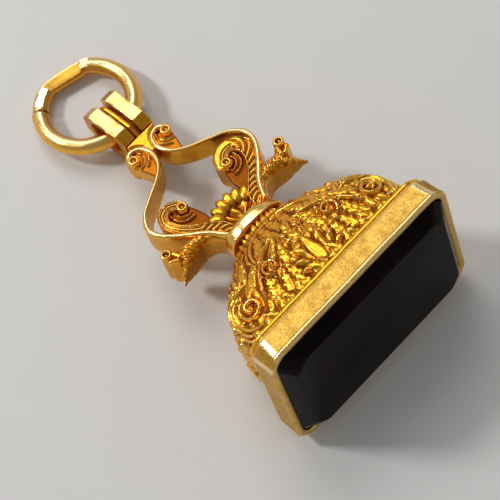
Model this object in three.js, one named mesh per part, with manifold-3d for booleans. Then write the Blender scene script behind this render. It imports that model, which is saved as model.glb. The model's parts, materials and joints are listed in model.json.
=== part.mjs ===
// Fob seal: a cased gold watch-chain seal with an engraver's stone, an openwork lyre handle and a split ring.
// Lengths are millimetres. The seal is drawn along its own axis and then laid on its back on a table.
// Own axes of the seal: +X across its long side, +Y towards its front, +Z from the stone to the loop.
import * as THREE from "three";
import { mergeVertices } from "three/addons/utils/BufferGeometryUtils.js";
import Module from "manifold-3d";

const wasm = await Module();
wasm.setup();

// Room left for solder or cement between two pieces that are seated on each other
const seam = 0.25;

// How far a cutting tool runs past the piece that it cuts
const past = 1;

// Setting: a band with cut corners, a moulding on its body side, and the stone with bevelled edges
const bezelLength = 25;
const bezelWidth = 17.1;
const bezelHeight = 2.9;
const bezelWall = 0.5;
const cornerAtStone = 1.25;
const cornerAtBody = 1.6;
const leastCorner = 0.2;
const mouldingWidth = 0.6;
const mouldingHeight = 0.55;
const mouldingInset = 0.35;
const plateThickness = 0.5;
const beddingThickness = 0.45;
const stoneProud = 1.3;
const stoneBevel = 1.25;
const stoneCorner = 1.2;

// Body: a hollow chased dome between the setting and the neck
const bodyHeight = 11.8;
const bodyInset = 0.8;
const bodyWall = 0.6;
const neckHalfLength = 2.75;
const neckHalfWidth = 2.35;
const fillingHeight = 8.4;
const footSquareness = 4.6;
const neckSquareness = 2.1;
const domeSwell = 0.04;
const domeSteps = 16;
const domeSides = 40;

// Neck: a moulded collar and the peg that ties the handle to the body
const collarHeight = 1.0;
const collarHalfLength = 3.4;
const collarHalfWidth = 2.9;
const collarLip = 0.45;
const collarSides = 36;
const pegRadius = 0.75;
const pegLength = 6.4;
const pegInHandle = 1.3;
const pegSides = 20;

// Handle: flat strips on edge, deeper at the foot than at the top
const handleHeight = 15.9;
const handleHalfWidth = 9.2;
const handleFootDepth = 4.3;
const handleTopDepth = 2.5;
const stripThickness = 0.62;
const legThickness = 0.85;
const knobRadius = 0.62;
const knobProud = 0.2;
const knobDimple = 0.28;
const knobOverlap = 0.6;
const stemThickness = 0.7;
const fanRadius = 3.45;
const fanLobes = 7;
const fanSpread = 82;
const lobeRadius = 0.5;
const fanFootDepth = 3.6;
const fanRimDepth = 2.3;
const stripSteps = 44;
const wingSteps = 26;
const fanSteps = 20;
const knobSides = 14;

// Suspension loop: two flat hoops on either side of a thin wire hoop, and the saddle under them
const loopBoreStraight = 1.5;
const loopChamfer = 1.25;
const loopFootChamfer = 0.75;
const loopShift = -0.25;
const hoopWidth = 1.55;
const hoopThickness = 0.75;
const hoopEndThickness = 1.1;
const grooveWidth = 0.6;
const grooveDepth = 0.4;
const saddleHalfLength = 1.9;
const saddleHeight = 2.1;
const saddleFlare = 0.25;
const saddleFlareHeight = 1;

// Split ring: round wire, hammered flat on one side, cut through where its ends meet
const ringOuterRadius = 6.0;
const ringWireRadius = 0.9;
const ringClearance = 0.15;
const ringPlay = 0.9;
const ringSlide = 0.5;
const ringCutWidth = 0.18;
const ringCutAngle = 40;
const ringFlatFrom = -43;
const ringFlatTo = 14;
const ringFlatShare = 0.75;
const ringFlatEase = 8;
const ringThinning = 0.1;
const ringEndStep = 0.12;
const ringEndRun = 14;
const ringSteps = 60;
const ringSides = 8;

// Radius of the wire's path, and the wire's room in the loop: its curve needs room on its inner side
const ringPathRadius = ringOuterRadius - ringWireRadius;
const ringInnerRadius = ringOuterRadius - 2 * ringWireRadius;
const loopWidth = 2 * hoopWidth + grooveWidth + 2 * seam;
const wireBow = ringInnerRadius - Math.sqrt(ringInnerRadius ** 2 - (loopWidth / 2 + ringSlide) ** 2);
const wireRoom = ringWireRadius + wireBow / 2;
const boreHalf = wireRoom + ringClearance;
const loopDepth = 2 * (boreHalf + hoopThickness);
const loopHeight = 2 * (boreHalf + hoopEndThickness) + loopBoreStraight;

// Heights along the seal's axis, counted from the stone side of the band
const mouldingFoot = bezelHeight + seam;
const bodyFoot = mouldingFoot + mouldingHeight + seam;
const bodyTop = bodyFoot + bodyHeight;
const collarFoot = bodyTop + seam;
const collarTop = collarFoot + collarHeight;
const handleFoot = collarTop + seam;
const handleTop = handleFoot + handleHeight;
const loopFoot = handleTop + seam;
const loopTop = loopFoot + loopHeight;
const pegTop = handleFoot + pegInHandle;
const pegFoot = pegTop - pegLength;
const pivotHeight = loopTop - hoopEndThickness - wireRoom - ringPlay;

// Finishes
const gold = { color: 0xd9a441, roughness: 0.32, metalness: 1 };
const finishes = {
  chasedGold: new THREE.MeshStandardMaterial({ ...gold, color: 0xcf9a3a, roughness: 0.38 }),
  polishedGold: new THREE.MeshStandardMaterial({ ...gold, color: 0xe6b552, roughness: 0.22 }),
  mattGold: new THREE.MeshStandardMaterial({ ...gold, color: 0xd6ab55, roughness: 0.5 }),
  innerBrass: new THREE.MeshStandardMaterial({ ...gold, color: 0xa8843f, roughness: 0.55 }),
  stone: new THREE.MeshStandardMaterial({ color: 0x1c0f14, roughness: 0.12, metalness: 0 }),
  cement: new THREE.MeshStandardMaterial({ color: 0x5a3a26, roughness: 0.85, metalness: 0 }),
};

// Closed mesh as a solid that can be joined and cut
function solidOf(geometry) {
  const bare = geometry.clone();
  bare.deleteAttribute("normal");
  bare.deleteAttribute("uv");
  const merged = mergeVertices(bare, 1e-4);
  return new wasm.Manifold(
    new wasm.Mesh({
      numProp: 3,
      vertProperties: new Float32Array(merged.attributes.position.array),
      triVerts: new Uint32Array(merged.index.array),
    }),
  );
}

// Solid back as a drawable mesh geometry
function geometryOf(solid) {
  const mesh = solid.getMesh();
  const geometry = new THREE.BufferGeometry();
  geometry.setAttribute("position", new THREE.BufferAttribute(new Float32Array(mesh.vertProperties), 3));
  geometry.setIndex(new THREE.BufferAttribute(new Uint32Array(mesh.triVerts), 1));
  const flat = geometry.toNonIndexed();
  flat.computeVertexNormals();
  return flat;
}

function joined(...geometries) {
  return geometryOf(geometries.map(solidOf).reduce((sum, next) => sum.add(next)));
}

function cut(geometry, ...tools) {
  return geometryOf(tools.map(solidOf).reduce((left, tool) => left.subtract(tool), solidOf(geometry)));
}

function common(geometry, other) {
  return geometryOf(solidOf(geometry).intersect(solidOf(other)));
}

// Solid through a row of convex rings, each turning anticlockwise as seen from the next one
function loft(rings) {
  const sides = rings[0].length;
  const positions = rings.flat().flatMap((point) => [point.x, point.y, point.z]);
  const faces = [];
  for (let ring = 0; ring < rings.length - 1; ring += 1) {
    for (let side = 0; side < sides; side += 1) {
      const next = (side + 1) % sides;
      const low = ring * sides;
      const high = low + sides;
      faces.push(low + side, low + next, high + next, low + side, high + next, high + side);
    }
  }
  const last = (rings.length - 1) * sides;
  for (let side = 1; side < sides - 1; side += 1) {
    faces.push(0, side + 1, side);
    faces.push(last, last + side, last + side + 1);
  }
  const geometry = new THREE.BufferGeometry();
  geometry.setAttribute("position", new THREE.Float32BufferAttribute(positions, 3));
  geometry.setIndex(faces);
  return geometry;
}

// Ring of a rectangle with cut corners at one height
function cutRectangle(halfLength, halfWidth, corner, height) {
  const long = halfLength - corner;
  const short = halfWidth - corner;
  const outline = [
    [halfLength, -short],
    [halfLength, short],
    [long, halfWidth],
    [-long, halfWidth],
    [-halfLength, short],
    [-halfLength, -short],
    [-long, -halfWidth],
    [long, -halfWidth],
  ];
  return outline.map(([x, y]) => new THREE.Vector3(x, y, height));
}

// Ring that goes from an ellipse at squareness 2 to a soft-cornered rectangle at higher values
function softRectangle(halfLength, halfWidth, squareness, height, sides = domeSides) {
  const ring = [];
  for (let side = 0; side < sides; side += 1) {
    const angle = (side / sides) * 2 * Math.PI;
    const reach = (value) => Math.sign(value) * Math.abs(value) ** (2 / squareness);
    ring.push(
      new THREE.Vector3(halfLength * reach(Math.cos(angle)), halfWidth * reach(Math.sin(angle)), height),
    );
  }
  return ring;
}

// Setting
const cornerShare = (height) => THREE.MathUtils.lerp(cornerAtStone, cornerAtBody, height / bezelHeight);
const insideCorner = (corner, inset) => Math.max(corner - inset * (2 - Math.SQRT2), leastCorner);

function bezelRing(inset, height, atHeight = height) {
  return cutRectangle(
    bezelLength / 2 - inset,
    bezelWidth / 2 - inset,
    insideCorner(cornerShare(height), inset),
    atHeight,
  );
}

function bezelBand() {
  const outer = loft([bezelRing(0, 0), bezelRing(0, bezelHeight)]);
  const inner = loft([bezelRing(bezelWall, 0, -past), bezelRing(bezelWall, 0, bezelHeight + past)]);
  return cut(outer, inner);
}

function bezelMoulding() {
  const ring = (inset, height) => bezelRing(inset, bezelHeight, mouldingFoot + height);
  const outer = loft([
    ring(mouldingInset + 0.25 * mouldingWidth, 0),
    ring(mouldingInset, 0.35 * mouldingHeight),
    ring(mouldingInset, 0.65 * mouldingHeight),
    ring(mouldingInset + 0.25 * mouldingWidth, mouldingHeight),
  ]);
  const inset = mouldingInset + mouldingWidth;
  const inner = loft([ring(inset, -past), ring(inset, mouldingHeight + past)]);
  return cut(outer, inner);
}

const stoneInset = bezelWall + seam;
const stoneBack = bezelHeight - plateThickness - beddingThickness - 2 * seam;

function settingRing(inset, height) {
  return cutRectangle(bezelLength / 2 - inset, bezelWidth / 2 - inset, stoneCorner, height);
}

function sealStone() {
  return loft([
    settingRing(stoneInset + stoneBevel, -stoneProud),
    settingRing(stoneInset, 0),
    settingRing(stoneInset, stoneBack),
  ]);
}

function settingLayer(foot, thickness) {
  return loft([settingRing(stoneInset, foot), settingRing(stoneInset, foot + thickness)]);
}

// Body
// Outline of the dome: how far out it stands at each share of its height, from the foot to the neck
const domeOutline = new THREE.SplineCurve(
  [
    [1, 0],
    [0.985, 0.07],
    [0.955, 0.16],
    [0.91, 0.34],
    [0.81, 0.49],
    [0.655, 0.63],
    [0.455, 0.755],
    [0.265, 0.85],
    [0.12, 0.92],
    [0.03, 0.97],
    [0, 1],
  ].map(([out, up]) => new THREE.Vector2(out, up)),
);
function domeRings(inset, top) {
  const rings = [];
  for (let step = 0; step <= domeSteps; step += 1) {
    const { x: out, y: up } = domeOutline.getPoint(step / domeSteps);
    const height = bodyFoot + up * bodyHeight;
    if (height > top) break;
    const sideOut = Math.min(out * (1 + domeSwell * Math.sin(Math.PI * up)), 1);
    const halfLength = THREE.MathUtils.lerp(neckHalfLength, bezelLength / 2 - bodyInset, out);
    const halfWidth = THREE.MathUtils.lerp(neckHalfWidth, bezelWidth / 2 - bodyInset, sideOut);
    const squareness = THREE.MathUtils.lerp(neckSquareness, footSquareness, out ** 1.5);
    rings.push(softRectangle(halfLength - inset, halfWidth - inset, squareness, height));
  }
  return rings;
}

function pegBore(from, to) {
  return new THREE.CylinderGeometry(pegRadius + seam, pegRadius + seam, to - from, pegSides)
    .rotateX(Math.PI / 2)
    .translate(0, 0, (from + to) / 2);
}

function bodyShell() {
  const outer = loft(domeRings(0, bodyTop));
  const hollow = domeRings(bodyWall, bodyTop - bodyWall);
  const mouth = hollow[0].map((point) => point.clone().setZ(bodyFoot - past));
  return cut(outer, loft([mouth, ...hollow]), pegBore(pegFoot, bodyTop + past));
}

// The filling reaches down to the plate of the setting, through the moulding
function bodyFilling() {
  const rings = domeRings(bodyWall + seam, bodyFoot + fillingHeight);
  const sole = rings[0].map((point) => point.clone().setZ(mouldingFoot));
  return cut(loft([sole, ...rings]), pegBore(pegFoot - seam, bodyTop));
}

// Neck
function neckCollar() {
  const lip = collarLip;
  const ring = (inset, height) =>
    softRectangle(collarHalfLength - inset, collarHalfWidth - inset, 2, height, collarSides);
  const turned = loft([
    ring(lip, collarFoot),
    ring(0.25 * lip, collarFoot + 0.3 * collarHeight),
    ring(0, collarFoot + 0.6 * collarHeight),
    ring(0.2 * lip, collarFoot + 0.85 * collarHeight),
    ring(0.8 * lip, collarTop),
  ]);
  return cut(turned, pegBore(collarFoot - past, collarTop + past));
}

function neckPeg() {
  return new THREE.CylinderGeometry(pegRadius, pegRadius, pegLength, pegSides)
    .rotateX(Math.PI / 2)
    .translate(0, 0, (pegTop + pegFoot) / 2);
}

// Handle
// Half the depth of the handle's strips at one height
function handleHalfDepth(height) {
  const share = (height - handleFoot) / handleHeight;
  return THREE.MathUtils.lerp(handleFootDepth, handleTopDepth, share) / 2;
}

// Outline in the front plane made into a solid, half as deep at each height as depthAt says
function onEdge(outline, depthAt = handleHalfDepth) {
  const geometry = new THREE.ExtrudeGeometry(new THREE.Shape(outline), {
    depth: 2,
    bevelEnabled: false,
    steps: 1,
    curveSegments: 24,
  });
  const position = geometry.attributes.position;
  for (let index = 0; index < position.count; index += 1) {
    const [x, height, side] = [position.getX(index), position.getY(index), position.getZ(index) - 1];
    position.setXYZ(index, x, -side * depthAt(height), height);
  }
  return geometry;
}

// The handle's curves are drawn on a sheet of this size, from the waist where the two scrolls come closest
const sheetHeight = 15.9;
const sheetHalfWidth = 9.2;
const sheetWaist = 0.435;
const waist = (stripThickness + seam) / 2;

// Place of a point of the sheet, given as distance from the middle and height above the handle's foot
function handlePoint([out, up], side = 1) {
  const wider = (handleHalfWidth - waist) / (sheetHalfWidth - sheetWaist);
  return new THREE.Vector2(
    side * (waist + (out - sheetWaist) * wider),
    handleFoot + (up / sheetHeight) * handleHeight,
  );
}

// Both edges of a strip that follows a path in the front plane
function stripEdges(path, halfThickness, steps = stripSteps) {
  const outer = [];
  const inner = [];
  for (let step = 0; step <= steps; step += 1) {
    const point = path.getPointAt(step / steps);
    const along = path.getTangentAt(step / steps);
    const across = new THREE.Vector2(along.y, -along.x).multiplyScalar(halfThickness);
    outer.push(point.clone().add(across));
    inner.push(point.clone().sub(across));
  }
  return { outer, inner };
}

// Strip on edge that follows a path in the front plane
function strip(path, halfThickness, depthAt = handleHalfDepth, steps = stripSteps) {
  const { outer, inner } = stripEdges(path, halfThickness, steps);
  const corner = (point, face) => new THREE.Vector3(point.x, face * depthAt(point.y), point.y);
  return loft(
    outer.map((point, step) => [
      corner(point, -1),
      corner(point, 1),
      corner(inner[step], 1),
      corner(inner[step], -1),
    ]),
  );
}

// Round knob that ends a scroll, standing proud of the strip, with a dimple in each face
function knob(centre, extra = 0) {
  const half = handleHalfDepth(centre.y) + knobProud + extra;
  const radius = knobRadius + extra;
  const profile = [
    [0, -half + knobDimple],
    [0.45 * radius, -half],
    [0.8 * radius, -half],
    [radius, -half + 0.2 * radius],
    [radius, half - 0.2 * radius],
    [0.8 * radius, half],
    [0.45 * radius, half],
    [0, half - knobDimple],
  ];
  const turned = new THREE.LatheGeometry(
    profile.map(([x, y]) => new THREE.Vector2(x, y)),
    knobSides,
  );
  return turned.translate(centre.x, 0, centre.y);
}

const scrollRoute = [
  [2.75, 0],
  [3.75, 1.75],
  [5.5, 3.6],
  [6.95, 5.5],
  [7.3, 7.2],
  [6.3, 8.75],
  [4.4, 9.85],
  [2.35, 10.95],
  [1.0, 12.15],
  [0.48, 13.6],
  [0.6, 14.6],
  [1.15, 15.35],
  [1.95, 15.58],
  [2.65, 15.1],
];
const scrollKnob = [2.4, 14.45];
const legRoute = [
  [1.9, 0],
  [2.2, 1.1],
  [3.15, 2.25],
  [4.35, 3.4],
  [5.25, 4.7],
  [5.6, 6.0],
  [5.25, 6.9],
  [4.45, 7.2],
  [3.7, 6.85],
];
const legKnob = [3.3, 6.1];
const wingTop = [
  [3.75, 1.75],
  [4.6, 2.45],
  [5.6, 2.8],
  [6.7, 2.85],
  [7.6, 2.45],
  [8.35, 1.45],
  [9.2, 0.35],
];
const wingUnder = [
  [8.2, 0.8],
  [7.2, 1.1],
  [6.1, 1.3],
  [5.0, 1.4],
  [4.1, 1.1],
  [3.5, 0.45],
  [3.3, 0],
];
const wingFoot = [
  [2.75, 0],
  [3.2, 0.9],
];
const wingKnob = [8.35, 3.35];
const wingStem = [7.2, 2.3];

function route(points, side) {
  return new THREE.SplineCurve(points.map((point) => handlePoint(point, side)));
}

// Route that curls in and ends inside its knob, short of the knob's middle
function curlRoute(points, knobPoint, side) {
  const path = route(points, side);
  const curlEnd = path.points.at(-1);
  const centre = handlePoint(knobPoint, side);
  const short = centre.distanceTo(curlEnd) - knobRadius * knobOverlap;
  path.points.push(curlEnd.clone().lerp(centre, short / centre.distanceTo(curlEnd)));
  return path;
}

function scrollStrip(side) {
  const path = curlRoute(scrollRoute, scrollKnob, side);
  return joined(strip(path, stripThickness / 2), knob(handlePoint(scrollKnob, side)));
}

// Room that the scroll's strip takes, with its seam, deeper than the strip on both sides
function scrollRoom(side) {
  const path = curlRoute(scrollRoute, scrollKnob, side);
  const room = strip(path, stripThickness / 2 + seam, (height) => 2 * handleHalfDepth(height));
  return joined(room, knob(handlePoint(scrollKnob, side), seam));
}

function legPath(side) {
  return curlRoute(legRoute, legKnob, side);
}

function leafLeg(side) {
  const band = strip(legPath(side), legThickness / 2);
  return cut(joined(band, knob(handlePoint(legKnob, side))), scrollRoom(side));
}

function wing(side) {
  const edge = [wingTop, wingUnder].flatMap((points) => route(points, side).getPoints(wingSteps));
  const foot = wingFoot.map((point) => handlePoint(point, side));
  const knobCentre = handlePoint(wingKnob, side);
  const stem = new THREE.LineCurve(handlePoint(wingStem, side), knobCentre);
  const leaf = joined(
    onEdge([...edge, ...foot]),
    strip(stem, stemThickness / 2, handleHalfDepth, 1),
    knob(knobCentre),
  );
  return cut(leaf, scrollRoom(side));
}

// Scalloped fan between the legs
function shellFan() {
  const centre = new THREE.Vector2(0, handleFoot);
  const fanHalfDepth = (height) => {
    const share = THREE.MathUtils.clamp((height - handleFoot) / fanRadius, 0, 1);
    return THREE.MathUtils.lerp(fanFootDepth, fanRimDepth, share) / 2;
  };
  const field = new THREE.Shape();
  field.absarc(centre.x, centre.y, fanRadius, 0, Math.PI, false);
  let fan = onEdge(field.getPoints(fanSteps), fanHalfDepth);
  const spread = THREE.MathUtils.degToRad(fanSpread);
  for (let lobe = 0; lobe < fanLobes; lobe += 1) {
    const angle = Math.PI / 2 + spread * (lobe / (fanLobes - 1) - 0.5);
    const bead = new THREE.CapsuleGeometry(lobeRadius, fanFootDepth - 2 * lobeRadius, 2, 8).translate(
      fanRadius * Math.cos(angle),
      0,
      handleFoot + fanRadius * Math.sin(angle),
    );
    fan = joined(fan, bead);
  }
  const legEdge = (side) => {
    const { outer, inner } = stripEdges(legPath(side), legThickness / 2 + seam);
    const near = side > 0 ? inner : outer;
    return near.filter((point, index) => index < stripSteps / 2);
  };
  const left = legEdge(1);
  const right = legEdge(-1);
  const between = onEdge([...left, ...right.reverse()], () => fanFootDepth);
  return cut(common(fan, between), pegBore(handleFoot - past, pegTop + seam));
}

// Suspension loop
// Closed hoop in the side plane: flat faces with chamfered corners, and a round-ended hole
function hoop(width, trim, middle) {
  const half = loopDepth / 2 - trim;
  const top = loopTop - trim;
  const foot = loopFoot;
  const chamfer = loopChamfer;
  const outline = new THREE.Shape(
    [
      [half, foot + chamfer],
      [half, top - chamfer],
      [half - chamfer, top],
      [chamfer - half, top],
      [-half, top - chamfer],
      [-half, foot + chamfer],
      [loopFootChamfer - half, foot],
      [half - loopFootChamfer, foot],
    ].map(([y, z]) => new THREE.Vector2(y, z)),
  );
  const upper = loopTop - hoopEndThickness - boreHalf;
  const lower = loopFoot + hoopEndThickness + boreHalf;
  const hole = new THREE.Path();
  hole.absarc(0, upper, boreHalf, 0, Math.PI, false);
  hole.absarc(0, lower, boreHalf, Math.PI, 2 * Math.PI, false);
  hole.closePath();
  outline.holes.push(hole);
  const geometry = new THREE.ExtrudeGeometry(outline, {
    depth: width,
    bevelEnabled: false,
    steps: 1,
    curveSegments: 8,
  });
  const position = geometry.attributes.position;
  for (let index = 0; index < position.count; index += 1) {
    const [y, z, x] = [position.getX(index), position.getY(index), position.getZ(index)];
    position.setXYZ(index, x - width / 2 + middle, y, z);
  }
  return geometry;
}

function loopSaddle() {
  const half = saddleHalfLength;
  const neck = 0.12 * saddleHalfLength;
  const block = onEdge(
    [
      [loopShift - half, handleTop],
      [loopShift + half, handleTop],
      [0.45 * half, handleTop - 0.45 * saddleHeight],
      [neck, handleTop - saddleHeight],
      [-neck, handleTop - saddleHeight],
      [-0.45 * half, handleTop - 0.45 * saddleHeight],
    ].map(([x, z]) => new THREE.Vector2(x, z)),
    (height) =>
      handleHalfDepth(height) + saddleFlare * Math.max(height - handleTop + saddleFlareHeight, 0),
  );
  return cut(block, scrollRoom(1), scrollRoom(-1));
}

// Split ring, drawn in the front plane round its own centre, its outward side up
function splitRing() {
  const cutHalf = THREE.MathUtils.radToDeg(ringCutWidth / 2 / ringPathRadius);
  const first = ringCutAngle + cutHalf;
  const sweep = 360 - 2 * cutHalf;
  const flatMiddle = (ringFlatFrom + ringFlatTo) / 2;
  const flatHalf = (ringFlatTo - ringFlatFrom) / 2;
  const rings = [];
  for (let step = 0; step <= ringSteps; step += 1) {
    const turned = first + (sweep * step) / ringSteps;
    const bearing = turned > 180 ? turned - 360 : turned;
    const offFlat = Math.abs(bearing - flatMiddle);
    const angle = THREE.MathUtils.degToRad(turned);
    let radius = ringPathRadius;
    let flatness = 0;
    if (offFlat < flatHalf) {
      const cosine = (degrees) => Math.cos(THREE.MathUtils.degToRad(degrees));
      const chord = cosine(flatHalf) / cosine(offFlat);
      radius *= THREE.MathUtils.lerp(1, chord, ringFlatShare);
      flatness = ringThinning * Math.min(1, (flatHalf - offFlat) / ringFlatEase);
    }
    const stepOut = (ringEndStep / 2) * Math.max(0, 1 - (turned - first) / ringEndRun);
    const thick = ringWireRadius * (1 - flatness) + stepOut;
    const section = [];
    for (let side = 0; side < ringSides; side += 1) {
      const around = (side / ringSides) * 2 * Math.PI;
      const reach = radius + stepOut + thick * Math.cos(around);
      const deep = ringWireRadius * Math.sin(around);
      section.push(new THREE.Vector3(reach * Math.sin(angle), -deep, reach * Math.cos(angle)));
    }
    rings.push(section);
  }
  return loft(rings);
}

// How the seal lies: its axis slopes down from the edge of the band to the underside of the loop
const contactAtBand = { back: bezelWidth / 2, along: bezelHeight };
const contactAtLoop = { back: loopDepth / 2, along: loopTop - loopChamfer };
const tilt = Math.atan2(contactAtBand.back - contactAtLoop.back, contactAtLoop.along - contactAtBand.along);
const bandHeight = contactAtBand.back * Math.cos(tilt) + contactAtBand.along * Math.sin(tilt);
const pivotAboveTable = bandHeight - pivotHeight * Math.sin(tilt);
const ringReach = 2 * ringPathRadius - wireBow / 2;
const ringSlope = Math.asin((pivotAboveTable - ringWireRadius) / ringReach);

// Assembly
const seal = new THREE.Group();

function add(name, geometry, finish, parent = seal) {
  const mesh = new THREE.Mesh(geometry, finish);
  mesh.name = name;
  parent.add(mesh);
  return mesh;
}

add("seal_stone", sealStone(), finishes.stone);
add("stone_bedding", settingLayer(stoneBack + seam, beddingThickness), finishes.cement);
add("bezel_plate", settingLayer(bezelHeight - plateThickness, plateThickness), finishes.innerBrass);
add("bezel_band", bezelBand(), finishes.mattGold);
add("bezel_moulding", bezelMoulding(), finishes.polishedGold);
add("body_shell", bodyShell(), finishes.chasedGold);
add("body_filling", bodyFilling(), finishes.cement);
add("neck_peg", neckPeg(), finishes.innerBrass);
add("neck_collar", neckCollar(), finishes.polishedGold);
add("shell_fan", shellFan(), finishes.chasedGold);
add("loop_saddle", loopSaddle(), finishes.polishedGold);
add("loop_wire", hoop(grooveWidth, grooveDepth, loopShift), finishes.polishedGold);
for (const [word, side] of [
  ["left", 1],
  ["right", -1],
]) {
  const hoopMiddle = loopShift + side * ((loopWidth - hoopWidth) / 2);
  add("scroll_" + word, scrollStrip(side), finishes.polishedGold);
  add("leaf_leg_" + word, leafLeg(side), finishes.chasedGold);
  add("wing_" + word, wing(side), finishes.chasedGold);
  add("loop_hoop_" + word, hoop(hoopWidth, 0, hoopMiddle), finishes.polishedGold);
}

// The ring swings about a line across the seal through the wire's place in the loop
const ringPivot = new THREE.Group();
ringPivot.position.set(loopShift + ringSlide, 0, pivotHeight);
ringPivot.rotation.x = ringSlope - tilt;
seal.add(ringPivot);
const ring = add("split_ring", splitRing(), finishes.polishedGold, ringPivot);
ring.position.z = ringPathRadius - wireBow / 2;

// Laid on its back: +X from the ring to the stone along the table, +Z up
const across = new THREE.Vector3(0, -1, 0);
const front = new THREE.Vector3(-Math.sin(tilt), 0, Math.cos(tilt));
const along = new THREE.Vector3(-Math.cos(tilt), 0, -Math.sin(tilt));
seal.quaternion.setFromRotationMatrix(new THREE.Matrix4().makeBasis(across, front, along));

const lying = new THREE.Group();
lying.add(seal);
lying.updateMatrixWorld(true);
const extent = new THREE.Box3().setFromObject(lying, true);
const middle = extent.getCenter(new THREE.Vector3());
seal.position.set(-middle.x, -middle.y, -extent.min.z);

export default lying;
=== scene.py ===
"""Dress of a gold-cased fob seal: its finishes and chased relief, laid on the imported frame.

Every piece is drawn in millimetres on the seal's own axes (+X across its long side, +Y towards its
front, +Z from the stone to the loop) and then placed in the frame, where the seal lies on its back.
"""
import json
import logging
import math
from dataclasses import dataclass, replace
from enum import Enum
from typing import Callable, Sequence

import bpy
import numpy as np
from mathutils import Matrix, Vector


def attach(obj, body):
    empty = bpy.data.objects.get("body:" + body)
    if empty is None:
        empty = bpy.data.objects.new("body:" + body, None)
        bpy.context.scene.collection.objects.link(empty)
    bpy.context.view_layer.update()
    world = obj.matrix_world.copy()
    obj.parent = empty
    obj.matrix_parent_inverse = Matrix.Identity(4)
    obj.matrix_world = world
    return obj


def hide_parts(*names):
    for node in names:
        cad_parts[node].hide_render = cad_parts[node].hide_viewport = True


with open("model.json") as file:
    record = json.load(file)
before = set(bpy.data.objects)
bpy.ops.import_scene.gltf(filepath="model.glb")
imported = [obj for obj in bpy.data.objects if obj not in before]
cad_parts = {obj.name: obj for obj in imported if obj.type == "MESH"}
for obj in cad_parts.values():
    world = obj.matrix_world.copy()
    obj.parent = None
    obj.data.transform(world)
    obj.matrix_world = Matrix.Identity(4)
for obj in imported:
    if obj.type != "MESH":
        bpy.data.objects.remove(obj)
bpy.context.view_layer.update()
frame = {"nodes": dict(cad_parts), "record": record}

log = logging.getLogger("fob_seal")
MM = 0.001
TAU = 2 * math.pi

Array = np.ndarray
Socket = bpy.types.NodeSocket
Colour = tuple[float, float, float]
Spot = tuple[float, float]
Pair = tuple[Array, Array]
Part = tuple[Array, Array, Array]  # of a plate on edge: distance inside it, half depth, and its share of the shade colour, from cuts and painted shade


class Rider(Enum):
    """The two bodies of the part that a piece can ride on."""

    SEAL = "seal"
    RING = "ring"


class Slot(Enum):
    """The record's material slots."""

    STONE = "stone"
    CEMENT = "cement"
    INNER_BRASS = "inner_brass"
    MATT_GOLD = "matt_gold"
    POLISHED_GOLD = "polished_gold"
    CHASED_GOLD = "chased_gold"
    RING_GOLD = "ring_gold"


# Axes and plain geometry


@dataclass(frozen=True)
class Axes:
    """A set of axes in the frame: its origin in millimetres and its three directions as rows."""

    origin: Array
    turn: Array

    def own(self, points: Array) -> Array:
        """Frame metres as millimetres on these axes."""
        return (points / MM - self.origin) @ self.turn.T

    def world(self, points: Array) -> Array:
        """Millimetres on these axes as frame metres."""
        return (points @ self.turn + self.origin) * MM

    def extent(self, node: str) -> Pair:
        """Lowest and highest corner of a CAD node on these axes.

        Args:
            node: Name of the CAD node.

        Returns:
            Two corners in millimetres.
        """
        points = np.array([vertex.co for vertex in frame["nodes"][node].data.vertices])
        own = self.own(points)
        return own.min(0), own.max(0)


def seal_axes() -> Axes:
    """The seal's own axes, from the two flat faces that the record measures.

    Returns:
        Axes whose origin is in the middle of the band's stone side.
    """
    mounts = {mount["name"]: np.array(mount["axis"]) for mount in frame["record"]["mounts"]}
    along = -mounts["seal_face"]
    front = -mounts["band_back"]
    turn = np.stack([np.cross(front, along), front, along])
    low, high = Axes(np.zeros(3), turn).extent("bezel_band")
    middle = np.array([(low[0] + high[0]) / 2, (low[1] + high[1]) / 2, low[2]])
    return Axes(middle @ turn, turn)


def blend(low: float, high: float, value: Array) -> Array:
    """Smooth step from 0 at low to 1 at high."""
    share = np.clip((value - low) / (high - low), 0, 1)
    return share * share * (3 - 2 * share)


def heading(bearing: float) -> Spot:
    """Direction at a bearing in degrees."""
    turned = math.radians(bearing)
    return math.cos(turned), math.sin(turned)


def run_and_aside(place: Pair, foot: Spot, bearing: float) -> Pair:
    """Places of a plane as seen from a foot along a bearing.

    Args:
        place: Both coordinates of the places.
        foot: The foot.
        bearing: The bearing in degrees.

    Returns:
        Run along the bearing and distance to its left.
    """
    way, away = heading(bearing), (place[0] - foot[0], place[1] - foot[1])
    return away[0] * way[0] + away[1] * way[1], away[1] * way[0] - away[0] * way[1]


def run_along(points: Array) -> Array:
    """Run along a line at each of its points."""
    return np.concatenate([[0], np.cumsum(np.linalg.norm(np.diff(points, axis=0), axis=1))])


def spline(points: Sequence[Sequence[float]], per_span: int) -> Array:
    """Uniform Catmull-Rom curve through points in a plane.

    Args:
        points: The points that the curve passes through.
        per_span: Number of steps between two of them.

    Returns:
        Points along the curve, ends included.
    """
    given = np.array(points, float)
    padded = np.vstack([given[0], given, given[-1]])
    steps = np.linspace(0, 1, per_span, endpoint=False)[:, None]
    spans = []
    for first in range(len(given) - 1):
        a, b, c, d = padded[first : first + 4]
        rise, fall = (c - a) / 2, (d - b) / 2
        cubic = (2 * b - 2 * c + rise + fall) * steps**3 + (-3 * b + 3 * c - 2 * rise - fall) * steps**2
        spans.append(cubic + rise * steps + b)
    return np.vstack([*spans, given[-1:]])


def edge_drop(inside: Array, radius: float) -> Array:
    """How far a rounded edge falls off, from the distance inside the outline."""
    share = np.clip(inside / radius, 0, 1)
    return radius * (1 - np.sqrt(1 - (1 - share) ** 2))


def ridge(distance: Array, width: float) -> Array:
    """Soft ridge of height 1, from the distance to its middle line."""
    return np.exp(-((distance / width) ** 2))


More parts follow.
